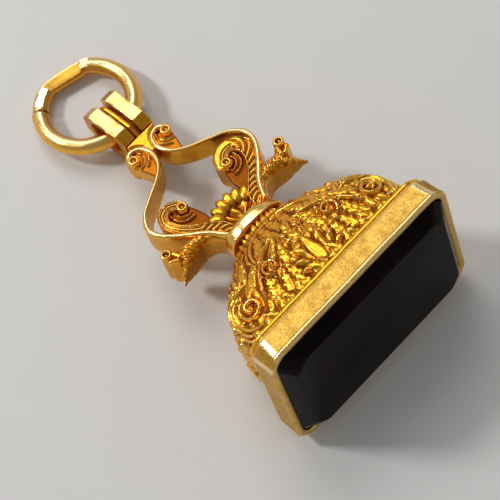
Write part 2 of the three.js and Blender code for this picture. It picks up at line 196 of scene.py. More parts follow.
def noise(points: Array, size: float, seed: int) -> Array:
    """Soft value noise in space, the same on each run.

    Args:
        points: Places, one row each, in millimetres.
        size: Distance between two bumps.
        seed: Which pattern.

    Returns:
        A value from -1 to 1 for each place.
    """
    cell = np.floor(points / size).astype(np.int64)
    share = points / size - cell
    share = share * share * (3 - 2 * share)
    total = np.zeros(len(points))
    for corner in np.ndindex(2, 2, 2):
        weight = np.prod(np.where(np.array(corner), share, 1 - share), axis=1)
        key = (cell + np.array(corner)) @ np.array([73856093, 19349663, 83492791]) + seed * 2654435761
        key = (key ^ (key >> 13)) * 1274126177 & 0x7FFFFFFF
        total += weight * ((key ^ (key >> 16)) % 65536) / 32768
    return total - 1


@dataclass
class Shape:
    """A closed mesh in millimetres, with each point's share of the shade colour, from cuts and painted shade,
    below 0 where it takes wear with a painted highlight.
    """

    points: Array
    faces: list[tuple[int, ...]]
    cut: Array

    def mirrored(self) -> "Shape":
        """The same mesh on the other side of the seal's middle."""
        return Shape(self.points * [-1, 1, 1], [face[::-1] for face in self.faces], self.cut)

    def dented(self, size: float, depth: float, seed: int) -> "Shape":
        """The mesh with the slight unevenness of handwork.

        Args:
            size: Distance between two dents.
            depth: Their depth.
            seed: Which pattern.

        Returns:
            A mesh whose points are moved by up to the depth along each axis.
        """
        moves = [noise(self.points, size, seed + axis) for axis in range(3)]
        return Shape(self.points + depth * np.stack(moves, 1), self.faces, self.cut)


def lofted(rings: Array, closed: bool = False, cut: Array | None = None) -> Shape:
    """Mesh through a row of rings that turn anticlockwise as seen from the next one.

    Args:
        rings: Rows of ring points.
        closed: Whether the last ring meets the first one. Otherwise both ends are capped.
        cut: Share of the shade colour for each point of each ring, from cuts and painted shade, below 0 for
            wear with a painted highlight.

    Returns:
        A closed mesh.
    """
    rows, sides = rings.shape[:2]
    row = np.arange(rows if closed else rows - 1)[:, None]
    side = np.arange(sides)[None, :]
    after = (side + 1) % sides
    above = (row + 1) % rows
    corners = [row * sides + side, row * sides + after, above * sides + after, above * sides + side]
    faces = list(map(tuple, np.stack([corner.ravel() for corner in corners], 1).tolist()))
    depth = np.zeros((rows, sides)) if cut is None else cut
    points, depths = rings.reshape(-1, 3), depth.ravel()
    if not closed:
        first, last = len(points), len(points) + 1
        points = np.vstack([points, rings[0].mean(0), rings[-1].mean(0)])
        depths = np.concatenate([depths, [depth[0].mean(), depth[-1].mean()]])
        top = (rows - 1) * sides
        for one in range(sides):
            two = (one + 1) % sides
            faces.append((first, two, one))
            faces.append((last, top + one, top + two))
    return Shape(points, faces, depths)


# Relief standing on edge


@dataclass
class Route:
    """A drawn line in the front plane, as short straight steps."""

    points: Array

    def near(self, x: Array, z: Array) -> tuple[Array, Array, Array]:
        """Nearest place on the line for each point of the plane.

        Args:
            x: Places across the seal.
            z: Places along it.

        Returns:
            Distance to the line, run along it, and the side: above 0 to the right of the way it runs.
        """
        starts, steps = self.points[:-1], np.diff(self.points, axis=0)
        lengths = np.hypot(*steps.T)
        runs = run_along(self.points)[:-1]
        best = np.full(len(x), np.inf)
        run, side = np.zeros(len(x)), np.zeros(len(x))
        for start, step, length, begun in zip(starts, steps, lengths, runs):
            from_start = np.stack([x - start[0], z - start[1]])
            share = np.clip(step @ from_start / length**2, 0, 1)
            away = from_start - step[:, None] * share
            distance = np.hypot(*away)
            closer = distance < best
            best = np.where(closer, distance, best)
            run = np.where(closer, begun + share * length, run)
            side = np.where(closer, np.sign(away[0] * step[1] - away[1] * step[0]), side)
        return best, run, side

    @property
    def length(self) -> float:
        """Length of the whole line."""
        return float(run_along(self.points)[-1])


def inside_outline(outline: Array, x: Array, z: Array) -> Array:
    """How far places of the plane lie inside a closed outline.

    Args:
        outline: Its corners.
        x: Places across the seal.
        z: Places along it.

    Returns:
        Distance to the outline for each place, below 0 outside it.
    """
    distance = Route(np.vstack([outline, outline[:1]])).near(x, z)[0]
    within = np.zeros(len(x), bool)
    for one, two in zip(outline, np.roll(outline, -1, axis=0)):
        crosses = (one[1] > z) != (two[1] > z)
        with np.errstate(divide="ignore", invalid="ignore"):
            at = one[0] + (z - one[1]) * (two[0] - one[0]) / (two[1] - one[1])
        within ^= crosses & (x < at)
    return np.where(within, distance, -distance)


@dataclass
class Relief:
    """A plate on edge in the front plane, modelled alike on its front and its back.

    Attributes:
        inside: Distance inside the plate's outline for places of the front plane.
        depth: Half depth of the plate and its share of the shade colour, from cuts and painted shade, for
            places of the front plane.
        low: Lowest x and z that the plate may reach.
        high: Highest x and z.
        pitch: Spacing of its points.
        least_share: Least part of the pitch between a point of the rim and one of the grid.
        wall_rows: Rows of faces on its side walls.
        wall_shade: Painted shade in the middle of its side walls.
    """

    inside: Callable[[Array, Array], Array]
    depth: Callable[[Array, Array], Pair]
    low: Spot
    high: Spot
    pitch: float = 0.06
    least_share: float = 0.04
    wall_rows: int = 8
    wall_shade: float = 0.3

    def cells(self) -> tuple[Array, list[tuple[int, ...]], list[tuple[int, int]]]:
        """The plate's outline filled with the cells of a square grid.

        Returns:
            Places of the front plane, the faces between them, and the pairs of places along the rim.
        """
        xs = np.arange(self.low[0], self.high[0] + self.pitch, self.pitch)
        zs = np.arange(self.low[1], self.high[1] + self.pitch, self.pitch)
        grid_x, grid_z = np.meshgrid(xs, zs, indexing="ij")
        within = self.inside(grid_x.ravel(), grid_z.ravel()).reshape(grid_x.shape)
        held = within > 0
        places: list[Spot] = []
        numbers: dict[tuple, int] = {}

        def number(key: tuple, x: float, z: float) -> int:
            """Number of a place, which is new on its first use.

            Args:
                key: The grid point, or the two that the place lies between.
                x: Where it is across the seal.
                z: Where it is along it.

            Returns:
                Its number.
            """
            if key not in numbers:
                numbers[key] = len(places)
                places.append((x, z))
            return numbers[key]

        polygons, rim = [], []
        count = held[:-1, :-1] * 1 + held[1:, :-1] + held[1:, 1:] + held[:-1, 1:]
        for i, j in zip(*np.nonzero(count)):
            corners = [(i, j), (i + 1, j), (i + 1, j + 1), (i, j + 1)]
            polygon, crossings = [], []
            for here, there in zip(corners, corners[1:] + corners[:1]):
                if held[here]:
                    polygon.append(number(("node", *here), xs[here[0]], zs[here[1]]))
                if held[here] != held[there]:
                    one, two = sorted((here, there))
                    share = within[one] / (within[one] - within[two])
                    share = min(max(share, self.least_share), 1 - self.least_share)
                    x = xs[one[0]] + share * (xs[two[0]] - xs[one[0]])
                    z = zs[one[1]] + share * (zs[two[1]] - zs[one[1]])
                    polygon.append(number((one, two), x, z))
                    crossings.append((polygon[-1], held[here]))
            polygons.append(tuple(polygon))
            for (crossing, leaves), (onward, _) in zip(crossings, crossings[1:] + crossings[:1]):
                if leaves:
                    rim.append((crossing, onward))
        return np.array(places), polygons, rim

    def shape(self) -> Shape:
        """Mesh of the plate.

        Returns:
            A closed mesh: front, back and the wall between them.
        """
        flat, polygons, rim = self.cells()
        half, cut = self.depth(flat[:, 0], flat[:, 1])
        count = len(flat)
        edge = sorted({corner for pair in rim for corner in pair})
        points = [np.stack([flat[:, 0], side * half, flat[:, 1]], 1) for side in (1, -1)]
        cuts = [cut, cut]
        for row in range(1, self.wall_rows):
            share = 1 - 2 * row / self.wall_rows
            points.append(np.stack([flat[edge, 0], share * half[edge], flat[edge, 1]], 1))
            # Painted shade on the side walls, deepest half way between front and back.
            cuts.append(np.full(len(edge), self.wall_shade * (1 - share**6)))
        faces = [polygon[::-1] for polygon in polygons]
        faces += [tuple(corner + count for corner in polygon) for polygon in polygons]
        column = {}
        for index, corner in enumerate(edge):
            between = [2 * count + row * len(edge) + index for row in range(self.wall_rows - 1)]
            column[corner] = [corner, *between, corner + count]
        for one, two in rim:
            left, right = column[one], column[two]
            faces += [(left[row], right[row], right[row + 1], left[row + 1]) for row in range(self.wall_rows)]
        return Shape(np.vstack(points), faces, np.concatenate(cuts))


# Finishes


class NodeTree:
    """Short way to fill a shader's or a group's node tree."""

    def __init__(self, tree: bpy.types.NodeTree) -> None:
        """Takes the tree to fill."""
        self.tree = tree

    def fill(self, node: bpy.types.Node, inputs: dict) -> None:
        """Gives a node's inputs what they take.

        Args:
            node: The node.
            inputs: Values or sockets for its inputs, by name or number.
        """
        for name, value in inputs.items():
            if isinstance(value, Socket):
                self.tree.links.new(value, node.inputs[name])
            else:
                node.inputs[name].default_value = value

    def add(self, kind: str, inputs: dict | None = None, **settings: object) -> bpy.types.Node:
        """Adds a node.

        Args:
            kind: Type of the node, without its ShaderNode prefix.
            inputs: Values or sockets for its inputs, by name or number.
            settings: Values of its own properties.

        Returns:
            The new node.
        """
        prefix = "" if kind.startswith("Node") else "ShaderNode"
        node = self.tree.nodes.new(prefix + kind)
        for name, value in settings.items():
            setattr(node, name, value)
        self.fill(node, inputs or {})
        return node

    def surface(self, inputs: dict) -> None:
        """Fills the shader that a new material comes with."""
        self.fill(self.tree.nodes["Principled BSDF"], inputs)

    def math(self, operation: str, one: object, two: object = 0.0, clamp: bool = False) -> Socket:
        """Result of one sum on values or sockets."""
        return self.add("Math", {0: one, 1: two}, operation=operation, use_clamp=clamp).outputs[0]

    def ramp(self, value: Socket, low: float, high: float, bottom: float = 0.0, top: float = 1.0) -> Socket:
        """Value from bottom at low to top at high, and no further."""
        return self.add("MapRange", {"Value": value, 1: low, 2: high, 3: bottom, 4: top}).outputs[0]

    def fleck(self, place: Socket, scale: object, detail: float, roughness: float = 0.5) -> Socket:
        """Cloudy noise, by its scale in bumps to the metre."""
        inputs = {"Vector": place, "Scale": scale, "Detail": detail, "Roughness": roughness}
        return self.add("TexNoise", inputs).outputs["Fac"]

    def mix(self, share: object, one: object, two: object) -> Socket:
        """Colour between two colours."""
        return self.add("Mix", {"Factor": share, 6: one, 7: two}, data_type="RGBA").outputs[2]


def shader_group(name: str, inputs: dict[str, object], outputs: dict[str, str]) -> tuple[NodeTree, dict]:
    """Empty shader group with named sockets.

    Args:
        name: Name of the group.
        inputs: Default of each input: a number or a colour.
        outputs: Socket type of each output.

    Returns:
        The tree to fill and its input sockets by name.
    """
    tree = bpy.data.node_groups.new(name, "ShaderNodeTree")
    for label, value in inputs.items():
        kind = "NodeSocketColor" if isinstance(value, tuple) else "NodeSocketFloat"
        socket = tree.interface.new_socket(name=label, in_out="INPUT", socket_type=kind)
        socket.default_value = value
    for label, kind in outputs.items():
        tree.interface.new_socket(name=label, in_out="OUTPUT", socket_type=kind)
    nodes = NodeTree(tree)
    entry = nodes.add("NodeGroupInput")
    return nodes, {label: entry.outputs[label] for label in inputs}


def wear_and_painted_light_group() -> bpy.types.NodeTree:
    """Group for metal that is pale on its crests and rubbed places, from wear with a painted highlight, and
    brown in its cuts and hollows, from tarnish and painted shade.

    The mesh tells each point's share of the shade colour, from cuts and painted shade, below 0 where it takes
    wear with a painted highlight, and how far it stands out.

    Returns:
        The group: a colour and a roughness.
    """
    hollow_shade_share, worn_gloss = 0.6, 0.45
    nodes, given = shader_group(
        "wear_and_painted_light_tone",
        {
            "Bright": (1.0, 0.7, 0.3, 1.0),
            "Shade": (0.5, 0.2, 0.05, 1.0),
            "Rubbed": (1.0, 0.75, 0.35, 1.0),
            "Patch Scale": 900.0,
            "Patch Amount": 0.3,
            "Polish": 0.2,
            "Dull": 0.5,
        },
        {"Color": "NodeSocketColor", "Roughness": "NodeSocketFloat"},
    )
    place = nodes.add("TexCoord").outputs["Object"]
    cut = nodes.add("Attribute", attribute_name="cut").outputs["Fac"]
    standing = nodes.add("Attribute", attribute_name="crest").outputs["Fac"]
    patch = nodes.ramp(nodes.fleck(place, given["Patch Scale"], 4.0, 0.65), 0.42, 0.68)
    # Hollows take the shade colour: tarnish and painted shade.
    hollow = nodes.math("MULTIPLY", nodes.ramp(standing, 0.0, -0.06), hollow_shade_share)
    deep = nodes.math("MAXIMUM", cut, hollow)
    stain = nodes.math("MULTIPLY", patch, given["Patch Amount"])
    share = nodes.math("ADD", deep, stain, clamp=True)
    colour = nodes.mix(share, given["Bright"], given["Shade"])
    span = nodes.math("SUBTRACT", given["Dull"], given["Polish"])
    rough = nodes.math("ADD", given["Polish"], nodes.math("MULTIPLY", span, share))
    open_share = nodes.math("SUBTRACT", 1.0, cut, clamp=True)
    # Crests, and points below 0, take the pale colour: wear with a painted highlight.
    crest = nodes.math("MULTIPLY", nodes.ramp(standing, 0.022, 0.08), open_share)
    worn = nodes.math("MAXIMUM", crest, nodes.math("MULTIPLY", cut, -1.0), clamp=True)
    colour = nodes.mix(worn, colour, given["Rubbed"])
    gloss = nodes.math("SUBTRACT", 1.0, nodes.math("MULTIPLY", worn, worn_gloss))
    rough = nodes.math("MULTIPLY", rough, gloss)
    nodes.add("NodeGroupOutput", {"Color": colour, "Roughness": rough})
    return nodes.tree


def fine_scratch_group() -> bpy.types.NodeTree:
    """Group for crossing hairline scratches and small pits.

    Returns:
        The group: a height.
    """
    pit_scale, line_from, line_to = 4200.0, 0.6, 0.72
    turns_and_lengths = ((0.35, 9.0), (-0.9, 12.0), (1.3, 7.0))
    nodes, given = shader_group(
        "fine_scratches", {"Scale": 1500.0, "Pits": 0.4}, {"Height": "NodeSocketFloat"}
    )
    place = nodes.add("TexCoord").outputs["Object"]
    total = 0.0
    for turn, length in turns_and_lengths:
        turned = {"Vector": place, "Rotation": (0.0, turn * 0.4, turn), "Scale": (1.0, length, length)}
        laid = nodes.add("Mapping", turned).outputs[0]
        line = nodes.fleck(laid, given["Scale"], 2.0)
        total = nodes.math("ADD", total, nodes.ramp(line, line_from, line_to))
    dips = nodes.math("MULTIPLY", nodes.fleck(place, pit_scale, 3.0), given["Pits"])
    nodes.add("NodeGroupOutput", {"Height": nodes.math("SUBTRACT", dips, total)})
    return nodes.tree


@dataclass(frozen=True)
class Finish:
    """A surface finish: its slot in the record and the material that shows it."""

    slot: Slot

    def material(self) -> bpy.types.Material:
        """The finish as a material, made on first use.

        Returns:
            The material.
        """
        name = f"{self.slot.value}_finish"
        material = bpy.data.materials.get(name)
        if material is None:
            material = bpy.data.materials.new(name)
            material.use_nodes = True
            self.dress(NodeTree(material.node_tree))
        return material

    def dress(self, nodes: NodeTree) -> None:
        """Fills a new material, in each finish's own way."""
        raise NotImplementedError


@dataclass(frozen=True)
class Gold(Finish):
    """Gold casing, worn bright on its edges, with a painted highlight where it is rubbed and painted shade in
    its hollows.
    """

    bright: Colour = (0.96, 0.5, 0.06)
    # Colour of cuts and tarnish, and of painted shade.
    shade: Colour = (0.4, 0.13, 0.012)
    # Pale colour of rubbed places: wear with a painted highlight.
    rubbed: Colour = (1.0, 0.82, 0.5)
    polish: float = 0.18
    dull: float = 0.45
    patch_scale: float = 900.0
    patch_amount: float = 0.25
    scratch_scale: float = 1500.0
    scratch_strength: float = 0.2
    scratch_depth: float = 0.02
    pits: float = 0.4

    def dress(self, nodes: NodeTree) -> None:
        """Fills a new material.

        Args:
            nodes: Its node tree.
        """
        tone = nodes.add(
            "Group",
            {
                "Bright": (*self.bright, 1.0),
                "Shade": (*self.shade, 1.0),
                "Rubbed": (*self.rubbed, 1.0),
                "Patch Scale": self.patch_scale,
                "Patch Amount": self.patch_amount,
                "Polish": self.polish,
                "Dull": self.dull,
            },
            node_tree=bpy.data.node_groups.get("wear_and_painted_light_tone") or wear_and_painted_light_group(),
        )
        lines = nodes.add(
            "Group",
            {"Scale": self.scratch_scale, "Pits": self.pits},
            node_tree=bpy.data.node_groups.get("fine_scratches") or fine_scratch_group(),
        )
        scratches = {
            "Strength": self.scratch_strength,
            "Distance": self.scratch_depth * MM,
            "Height": lines.outputs["Height"],
        }
        nodes.surface(
            {
                "Metallic": 1.0,
                "Base Color": tone.outputs["Color"],
                "Roughness": tone.outputs["Roughness"],
                "Normal": nodes.add("Bump", scratches).outputs["Normal"],
            }
        )


@dataclass(frozen=True)
class Stone(Finish):
    """Polished opaque stone, nearly black with a trace of brown and purple."""

    dark: Colour = (0.003, 0.0014, 0.0016)
    cloud: Colour = (0.011, 0.005, 0.005)
    cloud_scale: float = 160.0
    rub_scale: float = 700.0
    polish: float = 0.07
    dull: float = 0.17
    refraction: float = 1.15

    def dress(self, nodes: NodeTree) -> None:
        """Fills a new material.

        Args:
            nodes: Its node tree.
        """
        place = nodes.add("TexCoord").outputs["Object"]
        clouds = nodes.ramp(nodes.fleck(place, self.cloud_scale, 5.0), 0.4, 0.7)
        rubs = nodes.fleck(place, self.rub_scale, 4.0)
        nodes.surface(
            {
                "IOR": self.refraction,
                "Base Color": nodes.mix(clouds, (*self.dark, 1.0), (*self.cloud, 1.0)),
                "Roughness": nodes.ramp(rubs, 0.35, 0.7, self.polish, self.dull),
            }
        )


@dataclass(frozen=True)
class Cement(Finish):
    """Set shellac and pitch, matt and grainy."""

    light: Colour = (0.11, 0.05, 0.025)
    dark: Colour = (0.04, 0.018, 0.01)
    roughness: float = 0.85
    grain_scale: float = 1400.0
    grain_strength: float = 0.5
    grain_depth: float = 0.05

    def dress(self, nodes: NodeTree) -> None:
        """Fills a new material.

        Args:
            nodes: Its node tree.
        """
        grain = nodes.fleck(nodes.add("TexCoord").outputs["Object"], self.grain_scale, 6.0)
        bumps = {"Strength": self.grain_strength, "Distance": self.grain_depth * MM, "Height": grain}
        nodes.surface(
            {
                "Roughness": self.roughness,
                "Base Color": nodes.mix(grain, (*self.dark, 1.0), (*self.light, 1.0)),
                "Normal": nodes.add("Bump", bumps).outputs["Normal"],
            }
        )


# In each gold below, the rubbed colour is wear with a painted highlight, and the shade colour is cuts,
# tarnish and painted shade.
POLISHED = Gold(
    Slot.POLISHED_GOLD,
    bright=(0.97, 0.5, 0.035),
    shade=(0.56, 0.19, 0.01),
    rubbed=(1.0, 0.8, 0.44),
    polish=0.24,
    dull=0.44,
    patch_amount=0.22,
)
CHASED = Gold(
    Slot.CHASED_GOLD,
    bright=(0.96, 0.46, 0.035),
    shade=(0.27, 0.075, 0.006),
    rubbed=(1.0, 0.68, 0.22),
    polish=0.2,
    dull=0.46,
    patch_amount=0.15,
)
MATT = Gold(
    Slot.MATT_GOLD,
    bright=(0.8, 0.475, 0.095),
    shade=(0.46, 0.25, 0.035),
    rubbed=(1.0, 0.76, 0.36),
    polish=0.38,
    dull=0.54,
    patch_scale=1150.0,
    patch_amount=0.5,
    scratch_strength=0.55,
    pits=1.2,
)
RING_GOLD = Gold(
    Slot.RING_GOLD,
    bright=(0.97, 0.53, 0.08),
    rubbed=(1.0, 0.82, 0.5),
    polish=0.32,
    dull=0.45,
    patch_amount=0.2,
)
INNER_BRASS = Gold(Slot.INNER_BRASS, bright=(0.62, 0.42, 0.16), polish=0.35, dull=0.6, patch_amount=0.4)
STONE = Stone(Slot.STONE)
CEMENT = Cement(Slot.CEMENT)


def volume(points: Array, faces: list[tuple[int, ...]]) -> float:
    """What faces enclose.

    Args:
        points: Places of their corners.
        faces: Numbers of each face's corners.

    Returns:
        Six times the volume, below 0 where the faces look inwards.
    """
    corners = np.array([(face[0], one, two) for face in faces for one, two in zip(face[1:], face[2:])])
    first, second, third = points[corners[:, 0]], points[corners[:, 1]], points[corners[:, 2]]
    return float(np.einsum("ij,ij->i", first, np.cross(second, third)).sum())


def crests(mesh: bpy.types.Mesh) -> Array:
    """How far each point of a mesh stands out between its neighbours.

    Args:
        mesh: The mesh.

    Returns:
        A value for each point: 0 on a flat, above 0 on a crest and below 0 in a hollow.
    """
    count = len(mesh.vertices)
    places, normals = np.empty(3 * count, np.float32), np.empty(3 * count, np.float32)
    ends = np.empty(2 * len(mesh.edges), np.int32)
    mesh.vertices.foreach_get("co", places)
    mesh.vertices.foreach_get("normal", normals)
    mesh.edges.foreach_get("vertices", ends)
    places, normals = places.reshape(-1, 3), normals.reshape(-1, 3)
    one, two = ends[::2], ends[1::2]
    way = places[two] - places[one]
    way /= np.linalg.norm(way, axis=1, keepdims=True)
    met = np.bincount(ends, minlength=count)
    spread = [np.bincount(one, part, count) - np.bincount(two, part, count) for part in way.T]
    lean = (normals * np.stack(spread, 1)).sum(1) / met
    raised = np.arccos(np.clip(lean, -1, 1)) / math.pi - 0.5
    near = np.bincount(one, raised[two], count) + np.bincount(two, raised[one], count)
    return (raised + near) / (met + 1)


def lay(
    name: str,
    shape: Shape,
    axes: Axes,
    finish: Finish,
    stands_for: Sequence[str],
    rider: Rider = Rider.SEAL,
    sharp: float = 50.0,
) -> bpy.types.Object:
    """Puts a piece into the scene in place of its plain solids.

    Args:
        name: Name of the piece.
        shape: Its mesh, on the given axes.
        axes: The axes that it is drawn on.
        finish: Its finish.
        stands_for: CAD nodes that it replaces.
        rider: The body that it moves with.
        sharp: Angle in degrees from which an edge is sharp.

    Returns:
        The new object.
    """
    points, faces = axes.world(shape.points), shape.faces
    if volume(points, faces) < 0:
        faces = [face[::-1] for face in faces]
    mesh = bpy.data.meshes.new(name)
    mesh.from_pydata(points.tolist(), [], faces)
    # cut carries the shade colour share, from cuts and painted shade, below 0 wear with a painted highlight;
    # crest drives the painted shade in hollows and the painted highlight on crests.
    for mask, values in (("cut", shape.cut), ("crest", crests(mesh))):
        mesh.attributes.new(mask, "FLOAT", "POINT").data.foreach_set("value", values.astype(np.float32))
    mesh.shade_smooth()
    mesh.set_sharp_from_angle(angle=math.radians(sharp))
    mesh.materials.append(finish.material())
    piece = bpy.data.objects.new(name, mesh)
    bpy.context.scene.collection.objects.link(piece)
    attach(piece, rider.value)
    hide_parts(*stands_for)
    log.info("%s: %d faces", name, len(shape.faces))
    return piece


def coat(node: str, finish: Finish) -> None:
    """Gives a carried-over CAD node its finish.

    Args:
        node: Name of the CAD node.
        finish: Its finish.
    """
    piece = frame["nodes"][node]
    piece.data.materials.clear()
    piece.data.materials.append(finish.material())
    log.info("%s: carried over", node)


# Setting: stone, band and moulding


@dataclass
class Setting:
    """The stone in its band with cut corners, the moulding, and what lies behind the stone."""

    axes: Axes
    corner_at_stone: float = 1.25
    corner_at_body: float = 1.6
    least_corner: float = 0.2
    edge_rounding: float = 0.32
    edge_bulge: float = 0.12
    edge_steps: tuple = (0.0, 0.05, 0.2, 0.5, 0.8, 0.95)
    steps_long: int = 70
    steps_short: int = 46
    steps_corner: int = 8
    stone_corner: float = 1.2
    stone_bevel: float = 1.25
    stone_edge: float = 0.09
    lip_reach: float = 0.74
    band_wall: float = 0.62
    groove_height: float = 0.47
    groove_tone: float = 0.55
    dull_tone: float = 0.12
    # Wear with a painted highlight on the band's edges.
    rub_and_highlight_tone: float = 0.7
    # Painted shade on the short end faces and the cut corners, in the order of the outline's sides.
    face_shades: tuple = (0.3, 0.6, 0.0, 0.6)
    moulding_bulge: float = 0.28
    moulding_width: float = 0.85
    moulding_lift: float = 0.22
    moulding_drop: float = 0.12
    flange_reach: float = 2.2
    flange_drop: float = 0.2

    def __post_init__(self) -> None:
        """Reads the sizes of the band, the moulding and the stone off the frame."""
        self.band_high = self.axes.extent("bezel_band")[1]
        self.stone_low, self.stone_high = self.axes.extent("seal_stone")
        self.moulding_low, self.moulding_high = self.axes.extent("bezel_moulding")

    @property
    def counts(self) -> list[int]:
        """Number of steps on each of the outline's eight sides."""
        return [self.steps_short, self.steps_corner, self.steps_long, self.steps_corner] * 2

    def outline(self, half_length: float, half_width: float, corner: float) -> Array:
        """Rectangle with cut corners and worn edges, evenly stepped.

        Args:
            half_length: Half its length.
            half_width: Half its width.
            corner: How much of a side each cut corner takes.

        Returns:
            Points of a plane, anticlockwise.
        """
        long, short = half_length - corner, half_width - corner
        corners = np.array(
            [
                (half_length, -short), (half_length, short), (long, half_width), (-long, half_width),
                (-half_length, short), (-half_length, -short), (-long, -half_width), (long, -half_width),
            ]
        )
        following = [np.roll(corners, -shift, axis=0) for shift in range(3)]
        share = np.array(self.edge_steps)[:, None]
        points = []
        for count, here, there, after in zip(self.counts, *following):
            way = (there - here) / np.hypot(*(there - here))
            onward = (after - there) / np.hypot(*(after - there))
            begin, end = here + way * self.edge_rounding, there - way * self.edge_rounding
            points.append(begin + (end - begin) * np.linspace(0, 1, count, endpoint=False)[:, None])
            leave = there + onward * self.edge_rounding
            bulge = self.edge_bulge * np.sin(math.pi * share) * (there - (end + leave) / 2)
            points.append(end + (leave - end) * share + bulge)
        return np.vstack(points)

    def ring(self, inset: float, height: float, corner: float | None = None) -> Array:
        """Outline of the setting at one height.

        Args:
            inset: How far it lies inside the band's side.
            height: Its distance from the band's stone side.
            corner: Size of its cut corners. Without it they are the band's own.

        Returns:
            Points of the ring.
        """
        share = np.clip(height / self.band_high[2], 0, 1)
        cut = self.corner_at_stone + share * (self.corner_at_body - self.corner_at_stone)
        cut = max(cut - inset * (2 - math.sqrt(2)), self.least_corner) if corner is None else corner
        flat = self.outline(self.band_high[0] - inset, self.band_high[1] - inset, cut)
        return np.column_stack([flat, np.full(len(flat), height)])

    def stone(self) -> Shape:
        """Stone with a flat table, a bevel and softened edges.

        Returns:
            A closed mesh.
        """
        girdle = self.band_high[0] - self.stone_high[0]
        edge, soft = girdle + self.stone_bevel, self.stone_edge
        table, back = self.stone_low[2], self.stone_high[2]
        rise = -table / self.stone_bevel
        profile = [
            (edge + 2 * soft, table), (edge + 0.6 * soft, table + 0.12 * soft),
            (edge - 0.5 * soft, table + 0.7 * soft * rise), (edge - 1.3 * soft, table + 1.35 * soft * rise),
            (girdle + soft, -soft * rise), (girdle + 0.3 * soft, 0.0), (girdle, soft), (girdle, back),
        ]
        return lofted(np.array([self.ring(inset, height, self.stone_corner) for inset, height in profile]))

    def band(self) -> Shape:
        """Band with a faintly hollow face, its stone edge rubbed over the stone.

        Returns:
            A closed mesh.
        """
        top, lip, wall = self.band_high[2], self.lip_reach, self.band_wall
        profile = [
            (lip, 0.05), (lip - 0.12, -0.05), (0.42, -0.09), (0.24, -0.07), (0.09, 0.02), (0.0, 0.13),
            (-0.03, 0.27), (0.0, 0.4), (0.035, self.groove_height), (0.04, 0.6), (0.05, 0.3 * top),
            (0.06, 0.5 * top), (0.045, 0.8 * top), (0.05, top - 0.34), (0.11, top - 0.19), (0.22, top - 0.05),
            (0.36, top + 0.02), (wall, top), (wall, 0.5 * top), (wall, 0.35),
        ]
        inset, height = np.array(profile).T
        dull = np.where((inset <= 0.03) | (height > top - 0.1), 0.0, self.dull_tone)
        dull += np.where(height == self.groove_height, self.groove_tone, 0.0)
        # Edges and the face's rounded bevel steps take wear with a painted highlight.
        at_edge = (0 < height) & (height < 0.45) | (height > top - 0.3)
        rub = self.rub_and_highlight_tone * (at_edge & (inset < 0.15))
        on_face = ((0.1 < height) & (height < top - 0.2) & (inset < 0.2))[:, None]
        edge = len(self.edge_steps)
        bevels = np.concatenate([np.repeat([0.0, 1.0], [count, edge]) for count in self.counts])
        # Painted shade on the face of the short ends and the cut corners.
        toned = zip(self.counts, self.face_shades * 2)
        darker = np.concatenate([np.repeat([tone, 0.0], [count, edge]) for count, tone in toned])
        rubbed = np.maximum(rub[:, None] * (darker == 0), bevels * on_face)
        cut = np.where(rubbed > 0, -rubbed, dull[:, None] + darker * on_face)
        rings = np.array([self.ring(*spot) for spot in profile])
        return lofted(rings, closed=True, cut=cut).dented(2.3, 0.02, 11)

    def moulding(self) -> Shape:
        """Half-round moulding on the body side of the band, with a flange that reaches under the dome.

        Returns:
            A closed mesh.
        """
        foot, top = self.moulding_low[2] - self.moulding_lift, self.moulding_high[2] - self.moulding_drop
        outer = self.band_high[0] - self.moulding_high[0]
        inner, reach = outer + self.moulding_width, outer + self.flange_reach
        profile = []
        for step in range(13):
            angle = math.pi * (step / 12 - 0.5)
            inset = outer + self.moulding_bulge * (1 - math.cos(angle))
            profile.append((inset, (foot + top) / 2 + (top - foot) / 2 * math.sin(angle)))
        flange = top - self.flange_drop
        profile += [(inner, top), (inner, flange), (reach, flange - 0.02), (reach, foot)]
        rings = np.array([self.ring(inset, height) for inset, height in profile])
        return lofted(rings, closed=True).dented(0.9, 0.03, 21)

    def build(self) -> None:
        """Lays the setting's pieces."""
        lay("stone_cut", self.stone(), self.axes, STONE, ["seal_stone"], sharp=35)
        lay("band_rubbed_over", self.band(), self.axes, MATT, ["bezel_band"])
        lay("moulding_round", self.moulding(), self.axes, POLISHED, ["bezel_moulding"])
        coat("stone_bedding", CEMENT)
        coat("bezel_plate", INNER_BRASS)


# Body: chased dome, its filling and the peg


def blurred(field: Array, radius: int) -> Array:
    """Field smoothed by a square window, its edges repeated.

    Args:
        field: Values in rows.
        radius: Half the window's side, in steps.

    Returns:
        The smoothed values.
    """
    total = field
    for axis in (0, 1):
        padding = [(0, 0), (0, 0)]
        padding[axis] = (radius + 1, radius)
        sums = np.cumsum(np.pad(total, padding, mode="edge"), axis=axis)
        count = total.shape[axis]
        later = np.take(sums, range(2 * radius + 1, 2 * radius + 1 + count), axis=axis)
        total = (later - np.take(sums, range(count), axis=axis)) / (2 * radius + 1)
    return total


